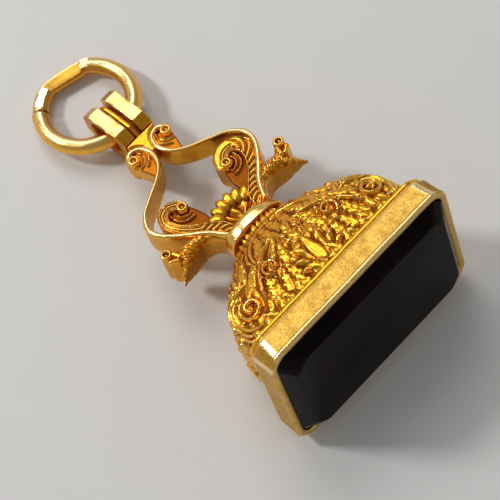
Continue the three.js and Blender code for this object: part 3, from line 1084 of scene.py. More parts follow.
@dataclass(frozen=True)
class Leaf:
    """A bent acanthus leaf in the relief, growing from its foot.

    Attributes:
        foot: Where it grows from: along the dome and up it.
        bearing: Its direction in degrees, 90 towards the neck.
        length: Its length.
        width: Its greatest width.
        height: How high its tip stands.
        curl: How much it bends to its left.
        lobes: Number of leaflets along each edge.
        gap: Width of the sunk line round it.
        notch_depth: How deep its edge is notched, as a share of its width.
        leaflet_depth: How deep the lines between its leaflets are, as a share of its height.
        vein_depth: The same for its side veins.
        rib_depth: The same for its middle rib.
    """

    foot: Spot
    bearing: float
    length: float
    width: float
    height: float = 0.5
    curl: float = 0.0
    lobes: int = 3
    gap: float = 0.1
    notch_depth: float = 0.3
    leaflet_depth: float = 0.26
    vein_depth: float = 0.2
    rib_depth: float = 0.35

    def mirrored(self) -> "Leaf":
        """The leaf on the other side of the middle."""
        return replace(self, foot=(-self.foot[0], self.foot[1]), bearing=180 - self.bearing, curl=-self.curl)

    def stamp(self, along: Array, up: Array) -> Array:
        """Height of the leaf over the ground.

        Args:
            along: Places along the dome.
            up: Places up it.

        Returns:
            Height for each place, 0 in the gap round the leaf and below 0 beyond.
        """
        run, aside = run_and_aside((along, up), self.foot, self.bearing)
        run = run / self.length
        aside = aside - self.curl * self.length * run**2
        inner = np.clip(run, 0, 1)
        lobed = self.lobes > 0
        notch = 1 - self.notch_depth * (1 - np.abs(np.sin(math.pi * self.lobes * inner))) * lobed
        envelope = self.width / 2 * np.sin(math.pi * inner**0.72) ** 0.75 * notch
        share = np.abs(aside) / np.maximum(envelope, 1e-3)
        crown = np.sqrt(np.clip(1 - share**2, 0, 1))
        between = np.abs(np.sin(math.pi * (self.lobes * inner + 0.6 * (1 - np.minimum(share, 1)))))
        leaflets = 1 - self.leaflet_depth * (1 - between**0.6) * lobed
        leaflets -= self.vein_depth * ridge(share - 0.5, 0.13) * (1 - inner)
        rib = 1 - self.rib_depth * ridge(share, 0.2) * (1 - inner)
        body = (0.5 + 0.35 * inner + 0.25 * ridge(inner - 0.8, 0.16)) * crown**0.8 * leaflets * rib
        over = (run > 0) & (run < 1)
        rim = over & (share < 1 + self.gap / np.maximum(envelope, 0.1))
        return np.where(over & (share < 1), self.height * np.maximum(body, 0.1), np.where(rim, 0.0, -1.0))


@dataclass(frozen=True)
class Vine:
    """A raised stem that follows a curve."""

    points: tuple
    width: float = 0.3
    height: float = 0.6
    gap: float = 0.14

    def mirrored(self) -> "Vine":
        """The stem on the other side of the middle."""
        return replace(self, points=tuple((-along, up) for along, up in self.points))

    def stamp(self, along: Array, up: Array) -> Array:
        """Height of the stem over the ground.

        Args:
            along: Places along the dome.
            up: Places up it.

        Returns:
            Height for each place, 0 in the gap beside the stem and below 0 beyond.
        """
        route = Route(spline(self.points, 8))
        distance, run, _ = route.near(along, up)
        taper = np.clip(0.5 + 1.2 * np.sin(math.pi * np.clip(run / route.length, 0, 1)), 0, 1)
        share = distance / (self.width * taper)
        groove = 1 - 0.3 * ridge(share - 0.25, 0.2)
        body = self.height * taper * np.sqrt(np.clip(1 - share**2, 0, 1)) * groove
        return np.where(share < 1, body, np.where(distance < self.width * taper + self.gap, 0.0, -1.0))


@dataclass(frozen=True)
class Scroll:
    """A leafy scroll: a stem wound round a bead, with flutes like a shell's on its outer side.

    Attributes:
        middle: Place of its bead.
        radius: Reach of its outer turn.
        start: Bearing in degrees where the outer turn begins.
        turns: How often it winds round.
        sense: 1 where it winds to the left, -1 to the right.
        flutes: Number of leaves on its outer side.
        echoes: Number of thin arcs round its first half turn.
        height: How high its stem stands.
        bead: Width of its bead.
        bead_height: How high its bead stands.
        flute_lean: How far its leaves lean from straight outward, in degrees.
        echo_pitch: Distance between the arcs.
    """

    middle: Spot
    radius: float
    start: float
    turns: float = 1.5
    sense: int = 1
    flutes: int = 9
    echoes: int = 0
    height: float = 0.6
    bead: float = 0.6
    bead_height: float = 0.75
    flute_lean: float = 34.0
    echo_pitch: float = 0.57

    def mirrored(self) -> "Scroll":
        """The scroll on the other side of the middle."""
        middle = -self.middle[0], self.middle[1]
        return replace(self, middle=middle, start=180 - self.start, sense=-self.sense)

    def place(self, bearing: float, reach: float) -> Spot:
        """Place at a bearing in degrees and a distance from the bead."""
        way = heading(bearing)
        return self.middle[0] + reach * way[0], self.middle[1] + reach * way[1]

    def at(self, share: float) -> tuple[Spot, float]:
        """Place on the stem.

        Args:
            share: Share of its windings.

        Returns:
            The place and its bearing from the bead.
        """
        bearing = self.start + self.sense * 360 * self.turns * share
        return self.place(bearing, self.radius * (1 - 0.78 * share**0.8)), bearing

    def pieces(self) -> list[Leaf | Vine]:
        """Flutes, arcs, stem and bead.

        Returns:
            The pieces, in the order that they are laid.
        """
        laid: list[Leaf | Vine] = []
        for flute in range(self.flutes):
            foot, bearing = self.at(0.62 * (flute + 0.5) / self.flutes / self.turns)
            length = self.radius * (0.78 - 0.3 * abs(flute / self.flutes - 0.5))
            width, lean = 0.3 * self.radius, bearing + self.flute_lean * self.sense
            laid.append(Leaf(foot, lean, length, width, curl=0.14 * self.sense, lobes=0))
        for echo in range(self.echoes, 0, -1):
            arc = []
            for step in range(13):
                bearing = self.start + self.sense * (16.0 * step - 8 * echo)
                arc.append(self.place(bearing, self.radius + self.echo_pitch * echo + 0.03 * step))
            laid.append(Vine(tuple(arc), 0.24, 0.58, 0.05))
        steps = int(12 * self.turns)
        stem = tuple(self.at(step / steps)[0] for step in range(steps + 1))
        laid.append(Vine(stem, 0.13 * self.radius + 0.04, self.height))
        bead = self.middle[0] - self.bead / 2, self.middle[1]
        laid.append(Leaf(bead, 0, self.bead, self.bead, self.bead_height, lobes=0))
        return laid


@dataclass
class Dome:
    """The hollow chased body between the setting and the neck.

    Places on it are the distances along it from its middle and up it from its foot.
    """

    axes: Axes
    neck_half_length: float = 2.75
    neck_half_width: float = 2.35
    foot_squareness: float = 4.6
    neck_squareness: float = 2.1
    swell: float = 0.04
    ground: float = -0.28
    grain: float = 0.03
    foot_line: float = 0.12
    chased_tone: float = 0.16
    # Shade colour on the chased ground and in its hollows: tarnish and painted shade.
    ground_tone: float = 0.6
    hollow_shade_gain: float = 5.5
    # Painted shade on the plain neck, deeper under the collar.
    neck_shade: float = 0.4
    rows: int = 215
    quarter: int = 225
    outline_points: tuple = (
        (1, 0), (0.985, 0.07), (0.955, 0.16), (0.91, 0.34), (0.81, 0.49), (0.655, 0.63), (0.455, 0.755),
        (0.265, 0.85), (0.12, 0.92), (0.03, 0.97), (0, 1),
    )
    scrolls: tuple = (
        Scroll((-8.6, 3.3), 1.5, 100, 1.5, 1, 0, 3),
        Scroll((-13.4, 3.0), 1.4, 200, 1.4, -1, 8),
        Scroll((-4.1, 4.7), 1.1, 250, 1.3, -1, 7),
    )
    ornament: tuple = (
        Leaf((-16.2, 0.9), 90, 4.6, 2.2, 0.55, 0.0, 5),
        Leaf((-11.2, 0.8), 84, 3.4, 1.7, 0.55, 0.12, 4),
        Leaf((-7.2, 4.6), 34, 3.0, 1.5, 0.55, 0.16, 4),
        Leaf((-9.6, 5.2), 44, 2.4, 1.3, 0.5, 0.14, 3),
        Leaf((-6.4, 0.8), 62, 3.9, 1.9, 0.6, 0.14, 5),
        Leaf((-4.7, 0.8), 70, 3.1, 1.6, 0.6, -0.1, 4),
        Leaf((-3.1, 0.8), 84, 3.0, 1.4, 0.55, 0.12, 4),
        Leaf((-2.6, 3.6), 78, 2.8, 1.3, 0.55, -0.14, 4),
        Leaf((-2.9, 6.1), 40, 2.2, 1.1, 0.5, 0.12, 3),
        Leaf((-5.6, 6.2), 30, 2.2, 1.1, 0.5, 0.12, 3),
        Vine(((-6.9, 2.6), (-6.2, 4.0), (-5.1, 5.4), (-3.7, 6.7), (-1.9, 7.6)), 0.24, 0.62),
        Vine(((-11.8, 4.0), (-10.6, 5.1), (-8.8, 5.7), (-6.8, 5.9)), 0.22, 0.55),
        Leaf((-4.9, 7.4), 58, 2.9, 1.3, 0.46, 0.14, 3),
        Leaf((-3.1, 8.0), 74, 2.8, 1.2, 0.46, -0.12, 3),
        Leaf((-1.3, 8.2), 82, 3.0, 1.1, 0.46, 0.12, 3),
        Leaf((-6.9, 7.0), 50, 2.6, 1.2, 0.42, -0.1, 3),
        Leaf((-12.6, 5.2), 66, 3.0, 1.4, 0.46, 0.12, 4),
        Leaf((-14.6, 4.6), 84, 3.2, 1.3, 0.46, -0.1, 3),
        Leaf((-10.4, 6.6), 60, 2.6, 1.2, 0.42, 0.12, 3),
        Vine(((-4.6, 6.6), (-4.3, 8.0), (-3.4, 9.6), (-2.0, 10.9), (-0.7, 11.7)), 0.2, 0.46),
    )
    crest: tuple = (
        Leaf((0, 4.6), 118, 2.6, 1.2, 0.52, -0.1, 3),
        Leaf((0, 4.6), 62, 2.6, 1.2, 0.52, 0.1, 3),
        Leaf((0, 4.6), 90, 3.6, 1.3, 0.6, 0.0, 4),
        Leaf((0, 8.4), 90, 3.4, 1.2, 0.5, 0.0, 4),
    )
    palmette_leaves: int = 7
    palmette_foot: Spot = (0.0, 0.75)
    palmette_turn: float = 23.0
    border_rise: float = 12.9
    border_fall: float = 0.045
    border_end: float = 7.0
    filling_reach: float = 16.6
    filling_pitch: Spot = (1.4, 1.3)
    border_pitch: float = 0.8
    foot_pitch: float = 1.15
    seed: int = 5

    def __post_init__(self) -> None:
        """Reads the body's height and foot off the frame."""
        low, high = self.axes.extent("body_shell")
        self.foot, self.top = low[2] - 0.5, high[2] + 0.1
        self.half_length, self.half_width = high[0], high[1]

    def ring(self, out: float, up: float) -> Array:
        """Soft-cornered rectangle at one height, evenly stepped in each quarter.

        Args:
            out: How far its size lies from the neck's, 0, to the foot's, 1.
            up: Its height from the foot, 0, to the neck, 1.

        Returns:
            Points of the ring.
        """
        side_out = min(out * (1 + self.swell * math.sin(math.pi * up)), 1)
        length = self.neck_half_length + out * (self.half_length - self.neck_half_length)
        width = self.neck_half_width + side_out * (self.half_width - self.neck_half_width)
        power = 2 / (self.neck_squareness + out**1.5 * (self.foot_squareness - self.neck_squareness))
        angle = np.linspace(0, math.pi / 2, 600)
        fine = np.stack([length * np.cos(angle) ** power, width * np.sin(angle) ** power])
        run = run_along(fine.T)
        forth = np.linspace(0, run[-1], self.quarter, endpoint=False)
        back = np.linspace(run[-1], 0, self.quarter, endpoint=False)
        half = np.stack([np.interp(np.concatenate([forth, back]), run, line) for line in fine], 1)
        half[self.quarter :, 0] *= -1
        flat = np.vstack([half, -half])
        return np.column_stack([flat, np.full(len(flat), self.foot + up * (self.top - self.foot))])

    def surface(self) -> Array:
        """The plain dome, evenly stepped up its outline.

        Returns:
            Rings from the foot to the neck.
        """
        outline = spline(self.outline_points, 24)
        steep = np.hypot((self.half_length - self.neck_half_length) * 0.7, self.top - self.foot)
        scaled = outline * [steep * 0.62, self.top - self.foot]
        run = run_along(scaled)
        even = np.linspace(0, run[-1], self.rows)
        outs, ups = np.interp(even, run, outline[:, 0]), np.interp(even, run, outline[:, 1])
        return np.array([self.ring(out, up) for out, up in zip(outs, ups)])

    def shape(self) -> Shape:
        """The chased dome.

        Returns:
            A mesh closed under its foot.
        """
        rings = self.surface()
        height, cut = self.chasing(rings)
        return lofted(rings + self.outward(rings) * height[..., None], cut=cut)

    @staticmethod
    def outward(rings: Array) -> Array:
        """Direction out of the surface.

        Args:
            rings: Points of the surface.

        Returns:
            A direction of length 1 for each point.
        """
        along = np.roll(rings, -1, axis=1) - np.roll(rings, 1, axis=1)
        up = np.gradient(rings, axis=0)
        across = np.cross(along, up)
        return across / np.linalg.norm(across, axis=2, keepdims=True)

    def border(self, along: Array | float) -> Array:
        """Height up to which the dome is chased, lower towards its ends."""
        return self.border_rise - self.border_fall * np.minimum(np.abs(along), self.border_end) ** 2

    def filling_leaves(self, draw: np.random.Generator) -> list[Leaf]:
        """Small leaves that cover the whole ground.

        Args:
            draw: Source of random numbers.

        Returns:
            The leaves in a random order.
        """
        leaves = []
        reach, (pitch, rise) = self.filling_reach, self.filling_pitch
        for row, up in enumerate(np.arange(1.0, 12.6, rise)):
            for along in np.arange(-reach + 0.7 * (row % 2), reach, pitch):
                if up > self.border(along) - 0.9:
                    continue
                lean = 76 - 0.7 * math.degrees(math.atan2(-0.8 * along, 17.0 - up)) + draw.uniform(-16, 16)
                small = 1 - 0.3 * min(max((up - 7.0) / 4.0, 0.0), 1.0)
                foot = along + draw.uniform(-0.25, 0.25), up + draw.uniform(-0.3, 0.3)
                length, width = small * draw.uniform(2.2, 3.8), small * draw.uniform(0.65, 1.1)
                curl, lobes = draw.uniform(-0.18, 0.18), 3 * int(draw.random() < 0.25)
                height = small * draw.uniform(0.26, 0.5)
                leaves.append(Leaf(foot, lean, length, width, height, curl, lobes, 0.08))
        draw.shuffle(leaves)
        return leaves

    def border_leaves(self, draw: np.random.Generator) -> list[Leaf]:
        """Small leaves whose tips end the chased ground.

        Args:
            draw: Source of random numbers.

        Returns:
            The leaves.
        """
        leaves = []
        for along in np.arange(-11.6, 12.0, self.border_pitch):
            foot = along, self.border(along) - 1.0 + draw.uniform(-0.2, 0.2)
            lean, length = 90 + 2.4 * along + draw.uniform(-38, 22), draw.uniform(1.1, 1.9)
            leaves.append(Leaf(foot, lean, length, 0.7, 0.3, draw.uniform(-0.2, 0.2), 0, 0.05))
        return leaves

    def foot_leaves(self, draw: np.random.Generator) -> list[Leaf]:
        """Short leaves that stand on the dome's foot and lean to both sides in turn.

        Args:
            draw: Source of random numbers.

        Returns:
            The leaves.
        """
        leaves = []
        for step, along in enumerate(np.arange(-16.8, 17.0, self.foot_pitch)):
            lean = (60 if step % 2 else 112) + draw.uniform(-14, 14)
            leaves.append(Leaf((along, 0.05), lean, draw.uniform(1.4, 2.1), 1.1, 0.5, 0.1, 2, 0.07))
        return leaves

    def palmette(self) -> list[Leaf]:
        """Leaves that spread from the middle of the foot.

        Returns:
            The leaves, the upright one last.
        """
        middle = (self.palmette_leaves - 1) / 2
        turns = sorted((leaf - middle for leaf in range(self.palmette_leaves)), key=abs, reverse=True)
        leaves = []
        for turn in turns:
            lean, length = 90 + self.palmette_turn * turn, 4.1 - 0.4 * abs(turn)
            leaves.append(Leaf(self.palmette_foot, lean, length, 1.35, 0.55, 0.05 * turn, 0))
        return leaves

    def stamps(self) -> list[Leaf | Vine]:
        """All ornament of the front.

        Returns:
            Its pieces, in the order that they are laid.
        """
        draw = np.random.default_rng(self.seed)
        filling, border, foot = self.filling_leaves(draw), self.border_leaves(draw), self.foot_leaves(draw)
        scrolls = [scroll for pair in self.scrolls for scroll in (pair, pair.mirrored())]
        main = [piece for pair in self.ornament for piece in (pair, pair.mirrored())]
        wound = [piece for scroll in scrolls for piece in scroll.pieces()]
        return [*filling, *border, *self.crest, *main, *wound, *self.palmette(), *foot]

    def chasing(self, rings: Array) -> Pair:
        """Relief of the dome.

        Args:
            rings: Points of the plain dome.

        Returns:
            Height of the relief and share of the shade colour for each point, from tarnish and painted shade.
        """
        front = rings[:, : 2 * self.quarter + 1]
        steps = np.linalg.norm(np.diff(front, axis=1), axis=2)
        along = np.concatenate([np.zeros((len(front), 1)), np.cumsum(steps, axis=1)], axis=1)
        along -= along[:, self.quarter : self.quarter + 1]
        middle = front[:, self.quarter]
        up = np.repeat(run_along(middle)[:, None], front.shape[1], axis=1)
        relief = np.zeros(along.shape)
        for piece in self.stamps():
            self.press(piece, along, up, relief)
        edge = self.border(along) - 0.35
        chased = 1 - blend(-0.1, 0.35, up - edge)
        grain = noise(front.reshape(-1, 3), 0.5, 73).reshape(along.shape)
        worn = blurred(relief, 1)
        height = worn + (self.ground + self.grain * grain) * chased
        height += self.foot_line * (ridge(up - 0.1, 0.1) - 0.4 * ridge(up - 0.32, 0.07))
        # Tarnish and painted shade in the hollows and on the ground between leaves.
        hollow = blurred(height, 8) - height
        ground_tone = self.ground_tone * (worn <= 0.05) * chased
        cut = np.clip(self.chased_tone * chased + self.hollow_shade_gain * hollow + ground_tone, 0, 1)
        # Painted shade on the plain neck, deeper towards the collar.
        cut = np.where(chased < 0.5, self.neck_shade + 0.25 * blend(12.0, 13.6, up), cut)
        back = slice(2 * self.quarter - 1, 0, -1)
        return np.hstack([height, height[:, back]]), np.hstack([cut, cut[:, back]])

    @staticmethod
    def press(piece: Leaf | Vine, along: Array, up: Array, relief: Array) -> None:
        """Lays one piece of ornament over what is there.

        Args:
            piece: The piece.
            along: Places along the dome.
            up: Places up it.
            relief: Height at each place, which the piece changes.
        """
        if isinstance(piece, Vine):
            spots = np.array(piece.points)
            low, high = spots.min(0) - 0.6, spots.max(0) + 0.6
        else:
            reach = piece.length * 1.15
            low, high = np.array(piece.foot) - reach, np.array(piece.foot) + reach
        near = (along > low[0]) & (along < high[0]) & (up > low[1]) & (up < high[1])
        if near.any():
            height = piece.stamp(along[near], up[near])
            relief[near] = np.where(height >= 0, height, relief[near])

    def build(self) -> None:
        """Lays the dome and dresses what it holds."""
        lay("dome_chased", self.shape(), self.axes, CHASED, ["body_shell"], sharp=70)
        coat("body_filling", CEMENT)
        coat("neck_peg", INNER_BRASS)


# Collar and handle


@dataclass(frozen=True)
class Leaflet:
    """A small pointed leaf on a surface."""

    middle: Spot
    bearing: float
    length: float
    width: float
    height: float = 0.2
    vein: float = 0.35

    def stamp(self, x: Array, z: Array) -> Pair:
        """Height of the leaf and depth in its cuts for places of the surface.

        Args:
            x: Places across.
            z: Places along.

        Returns:
            Height above the surface, and how much each place lies in a cut.
        """
        run, aside = run_and_aside((x, z), self.middle, self.bearing)
        along, across = run / (self.length / 2), aside / (self.width / 2)
        reach = np.clip(1 - along**2, 0, 1)
        crown = np.clip(1 - (across / np.maximum(reach, 1e-3)) ** 2, 0, 1) * (reach > 0)
        line = ridge(across, 0.16) * blend(0.05, 0.3, reach) * self.vein
        height = self.height * (np.sqrt(crown) * reach**0.5 - line * (crown > 0))
        rim = ridge(np.sqrt(along**2 + across**2) - 1.08, 0.16)
        return height, np.clip(line + 0.7 * rim * (crown <= 0.02), 0, 1)


@dataclass
class Handle:
    """Lyre handle of scrolls, leaf legs, wings and a shell fan, over its collar."""

    axes: Axes
    foot_depth: float = 4.3
    top_depth: float = 2.5
    height: float = 15.9
    foot_reach: float = 0.25
    thickness: float = 0.62
    leg_thickness: float = 0.85
    twist_pitch: float = 0.78
    twist_lean: float = 0.95
    twist_depth: float = 0.3
    knob_radius: float = 0.62
    knob_proud: float = 0.2
    dimple_depth: float = 0.34
    ball_radius: float = 0.19
    ball_height: float = 0.26
    collar_squareness: float = 2.7
    collar_proud: float = 0.35
    fan_radius: float = 3.45
    fan_lobes: int = 6
    fan_spread: float = 82.0
    loop_shift: float = -0.25
    saddle_half: float = 1.9
    scroll_knob: Spot = (2.4, 14.45)
    leg_knob: Spot = (3.3, 6.1)
    wing_knob: Spot = (8.35, 3.35)
    wing_stem: Spot = (7.2, 2.3)
    # Inset, height and tone of each ring of the profile: above 0 the shade colour, painted shade under the
    # edge; below 0 wear with a painted highlight.
    collar_profile: tuple = (
        (1.1, -0.62, 0.9), (0.8, -0.58, 0.9), (0.45, -0.53, 0.8), (0.16, -0.47, 0.5), (0.04, -0.42, -0.4),
        (0.0, -0.36, -1.0), (0.0, -0.24, -1.0), (0.01, -0.1, -0.8), (0.01, 0.1, -0.7), (0.01, 0.3, -0.7),
        (0.02, 0.5, -0.6), (0.05, 0.7, -0.4), (0.12, 0.88, 0.0), (0.3, 1.02, 0.2), (0.6, 1.12, 0.5),
        (0.9, 1.14, 0.6),
    )
    scroll_points: tuple = (
        (2.6, -0.3), (2.75, 0), (3.75, 1.75), (5.5, 3.6), (6.95, 5.5), (7.3, 7.2), (6.3, 8.75), (4.4, 9.85),
        (2.35, 10.95), (1.0, 12.15), (0.48, 13.6), (0.6, 14.6), (1.15, 15.35), (1.95, 15.58), (2.65, 15.1),
    )
    leg_points: tuple = (
        (1.85, -0.3), (1.9, 0), (2.2, 1.1), (3.15, 2.25), (4.35, 3.4), (5.25, 4.7), (5.6, 6.0), (5.25, 6.9),
        (4.45, 7.2), (3.7, 6.85),
    )
    wing_top: tuple = (
        (3.75, 1.75), (4.6, 2.45), (5.6, 2.8), (6.7, 2.85), (7.6, 2.45), (8.35, 1.45), (9.2, 0.35),
    )
    wing_under: tuple = (
        (8.2, 0.8), (7.2, 1.1), (6.1, 1.3), (5.0, 1.4), (4.1, 1.1), (3.5, 0.45), (3.3, 0), (3.2, -0.3),
    )
    wing_foot: tuple = ((2.6, -0.3), (2.75, 0), (3.2, 0.9))
    wing_leaflets: tuple = (
        Leaflet((4.75, 1.9), 60, 1.0, 0.6, 0.26),
        Leaflet((5.7, 2.15), 62, 1.35, 0.72, 0.34),
        Leaflet((6.65, 2.15), 56, 1.5, 0.8, 0.4),
        Leaflet((7.5, 1.8), 42, 1.5, 0.78, 0.4),
        Leaflet((8.3, 1.1), 26, 1.2, 0.55, 0.3),
    )
    wing_buds: tuple = (((7.55, 2.2), (7.72, 2.95)), ((8.0, 2.0), (8.6, 2.45)))
    bud_radius: float = 0.27
    scroll_web: tuple = (
        (0.6, 14.4), (0.7, 13.3), (1.15, 12.2), (1.95, 11.35), (2.3, 12.1), (2.62, 13.2), (2.95, 14.3),
        (2.3, 15.0), (1.2, 15.2),
    )
    leg_web: tuple = (
        (2.72, 6.2), (2.38, 5.2), (2.12, 4.1), (2.15, 3.2), (2.7, 2.3), (3.6, 3.0), (4.6, 4.0),
        (5.35, 5.4), (5.4, 6.5), (4.6, 7.0), (3.4, 6.6),
    )

    def __post_init__(self) -> None:
        """Draws the routes and reads the handle's foot off the frame."""
        self.foot = self.axes.extent("scroll_left")[0][2]
        self.scroll_route = self.curl(self.scroll_points, self.scroll_knob)
        self.leg_route = self.curl(self.leg_points, self.leg_knob)

    def curl(self, points: tuple, knob: Spot) -> Route:
        """Route of a strip.

        Args:
            points: Places that it passes through.
            knob: Middle of the knob that it ends in.

        Returns:
            The route.
        """
        end, centre = np.array(points[-1]), np.array(knob)
        gap = float(np.hypot(*(centre - end)))
        inner = end + (centre - end) * (gap - 0.6 * self.knob_radius) / gap
        return Route(spline((*points, tuple(inner)), 9))

    def half(self, up: Array) -> Array:
        """Half the depth of the handle at a height above its foot."""
        return (self.foot_depth + (self.top_depth - self.foot_depth) * up / self.height) / 2

    def knob(self, x: Array, up: Array, centre: Spot) -> Part:
        """Knob that ends a scroll: a ring round a dimple that holds a small ball.

        Args:
            x: Places across.
            up: Places above the handle's foot.
            centre: Middle of the knob.

        Returns:
            The knob as a part.
        """
        distance = np.hypot(x - centre[0], up - centre[1])
        inside = self.knob_radius - distance
        dimple = 1 - blend(0.2, 0.38, distance)
        ball = np.hypot(x - centre[0] - 0.05, up - centre[1] + 0.06) / self.ball_radius
        bead = np.sqrt(np.clip(1 - ball**2, 0, 1))
        relief = self.ball_height * bead - self.dimple_depth * dimple
        depth = self.half(centre[1]) + self.knob_proud - edge_drop(inside, 0.22) + relief
        return inside, depth, np.clip(dimple - bead, 0, 1)

    @staticmethod
    def pile(parts: Sequence[Part]) -> Pair:
        """Highest of several parts of a plate.

        Args:
            parts: The parts.

        Returns:
            Half depth and share of the shade colour, from cuts and painted shade.
        """
        depths = np.array([np.where(inside > -0.04, depth, 0.3) for inside, depth, _ in parts])
        cuts = np.array([cut for _, _, cut in parts])
        top = depths.argmax(0)
        return depths.max(0), np.take_along_axis(cuts, top[None], 0)[0]

    def plate(self, parts: Callable, low: Spot, high: Spot) -> Shape:
        """Plate on edge made of several parts.

        Args:
            parts: Gives the parts for places across and above the handle's foot.
            low: Lowest place that the plate may reach.
            high: Highest place.

        Returns:
            The mesh on the seal's axes.
        """
        relief = Relief(
            inside=lambda x, up: np.max([part[0] for part in parts(x, up)], axis=0),
            depth=lambda x, up: self.pile(parts(x, up)),
            low=low,
            high=high,
        )
        shape = relief.shape()
        shape.points[:, 2] += self.foot
        return shape.dented(1.7, 0.018, 31)

    def from_scroll(self, x: Array, up: Array, overlap: float = 0.03) -> Array:
        """Distance outside the scroll's strip, for a part that runs into it by the overlap."""
        return self.scroll_route.near(x, up)[0] - self.thickness / 2 + overlap

    def scroll_parts(self, x: Array, up: Array) -> list[Part]:
        """Strip, knob and web of a scroll.

        Args:
            x: Places across.
            up: Places above the handle's foot.

        Returns:
            The parts.
        """
        distance, run, _ = self.scroll_route.near(x, up)
        slim = blend(9.5, 12.0, run) * (1 - blend(16.5, 18.5, run))
        inside = np.minimum((self.thickness - 0.14 * slim) / 2 - distance, up + self.foot_reach)
        # The strip's face away from its edges takes wear with a painted highlight.
        strip = inside, self.half(up) - edge_drop(inside, 0.3), -0.65 * blend(0.07, 0.2, inside)
        knob = self.knob(x, up, self.scroll_knob)
        within = inside_outline(np.array(self.scroll_web), x, up)
        away = np.hypot(x - self.scroll_knob[0], up - self.scroll_knob[1])
        rings = np.maximum(ridge(away - 1.15, 0.13), ridge(away - 1.62, 0.12) * (x < 1.9))
        sunk = 0.42 + 0.16 * blend(1.4, 2.8, away)
        depth = self.half(up) - sunk + 0.26 * rings - edge_drop(within, 0.2)
        # The web takes painted shade, except on its raised rings.
        return [strip, knob, (within, depth, 1 - 0.85 * rings)]

    def leg_parts(self, x: Array, up: Array, twisted_to: float, spread: float) -> list[Part]:
        """Strip with twisted leaves, knob and web of a leg.

        Args:
            x: Places across.
            up: Places above the handle's foot.
            twisted_to: Run along the leg at which the twisted leaves end.
            spread: How far from the middle of its strip the leg reaches towards the scroll.

        Returns:
            The parts.
        """
        distance, run, side = self.leg_route.near(x, up)
        off = distance * side
        outer = np.minimum(spread - distance, self.from_scroll(x, up))
        inside = np.minimum(np.where(off > 0, outer, self.leg_thickness / 2 - distance), up + self.foot_reach)
        phase = (run - self.twist_lean * off) / self.twist_pitch
        lens = np.abs(np.sin(math.pi * phase)) ** 0.7
        twisted = blend(0.15, 0.5, run) * (1 - blend(twisted_to - 0.5, twisted_to + 0.1, run))
        between = blend(-0.3, -0.2, off) * (1 - blend(spread - 0.2, spread - 0.08, off))
        leaves = self.twist_depth * (lens - 1) * between * twisted
        lines = (ridge(off - 0.02, 0.07) + ridge(off - 0.34, 0.07)) * (1 - twisted)
        groove = ridge(off + 0.22, 0.05) + ridge(off - spread + 0.14, 0.05)
        depth = self.half(up) - 0.03 + leaves - 0.16 * lines - 0.12 * groove - edge_drop(inside, 0.16)
        cut = np.clip(0.9 * (1 - lens) * between * twisted + 0.7 * lines + 0.6 * groove, 0, 1)
        strip = inside, depth, cut
        knob = self.knob(x, up, self.leg_knob)
        within = inside_outline(np.array(self.leg_web), x, up)
        away = np.hypot(x - self.leg_knob[0], up - self.leg_knob[1])
        rings = np.maximum(ridge(away - 0.98, 0.12), ridge(away - 1.5, 0.13)) * (x > 3.0)
        sunk = 0.5 + 0.25 * blend(0.6, 2.6, away)
        depth = self.half(up) - sunk + 0.3 * rings - edge_drop(within, 0.22)
        # The web takes painted shade, except on its raised rings.
        return [strip, knob, (within, depth, 1 - 0.8 * rings)]

    def wing_parts(self, x: Array, up: Array) -> list[Part]:
        """Leaf, stem, buds and knob of a wing.

        Args:
            x: Places across.
            up: Places above the handle's foot.

        Returns:
            The parts.
        """
        top, under = spline(self.wing_top, 8), spline(self.wing_under, 8)
        outline = np.vstack([top, under, np.array(self.wing_foot)])
        within = np.minimum(inside_outline(outline, x, up), self.from_scroll(x, up))
        within = np.minimum(within, up + self.foot_reach)
        stamps = [leaflet.stamp(x, up) for leaflet in self.wing_leaflets]
        relief = np.max([height for height, _ in stamps], axis=0)
        cut = np.max([deep for _, deep in stamps], axis=0)
        slope = 0.5 * blend(0.2, -1.2, up - np.interp(x, [3, 5, 7, 9], [1.2, 2.0, 1.7, 0.6]))
        bent = 1 - 0.82 * blend(6.4, 9.3, x)
        depth = (self.half(up) - 0.2 - slope) * bent + relief - edge_drop(within, 0.22)
        leaf = within, depth, np.clip(cut + 0.5 * slope, 0, 1)
        thick = 0.5 - Route(np.array([self.wing_stem, self.wing_knob])).near(x, up)[0]
        stem = thick, self.half(up) - 0.25 - edge_drop(thick, 0.3), np.full(len(x), 0.5)
        buds = []
        for line in self.wing_buds:
            bud = self.bud_radius - Route(np.array(line)).near(x, up)[0]
            buds.append((bud, self.half(up) + 0.05 - edge_drop(bud, self.bud_radius), np.zeros(len(x))))
        return [leaf, stem, *buds, self.knob(x, up, self.wing_knob)]

    def fan_parts(self, x: Array, up: Array) -> list[Part]:
        """Hollow field of the fan and the petals on its rim.

        Args:
            x: Places across.
            up: Places above the handle's foot.

        Returns:
            The parts.
        """
        near, _, side = self.leg_route.near(np.abs(x), up)
        between = np.where(side < 0, near, -near) - self.leg_thickness / 2 + 0.06
        reach = np.hypot(x, up)
        within = np.minimum(np.minimum(self.fan_radius - reach, up), between)
        bearing = np.arctan2(x, np.maximum(up, 1e-6))
        rise = blend(0.3, 3.1, reach)
        sway = bearing * 11 + 0.9 * np.sin(2.1 * reach + 3 * bearing)
        veins = np.cos(sway) * blend(0.5, 1.6, reach) * (1 - blend(2.5, 2.9, reach))
        shell = 1.8 - 0.65 * np.clip(reach / self.fan_radius, 0, 1)
        hollow = shell - 0.5 * (1 - rise) * blend(0.0, 0.5, up) - 0.16 + 0.12 * veins
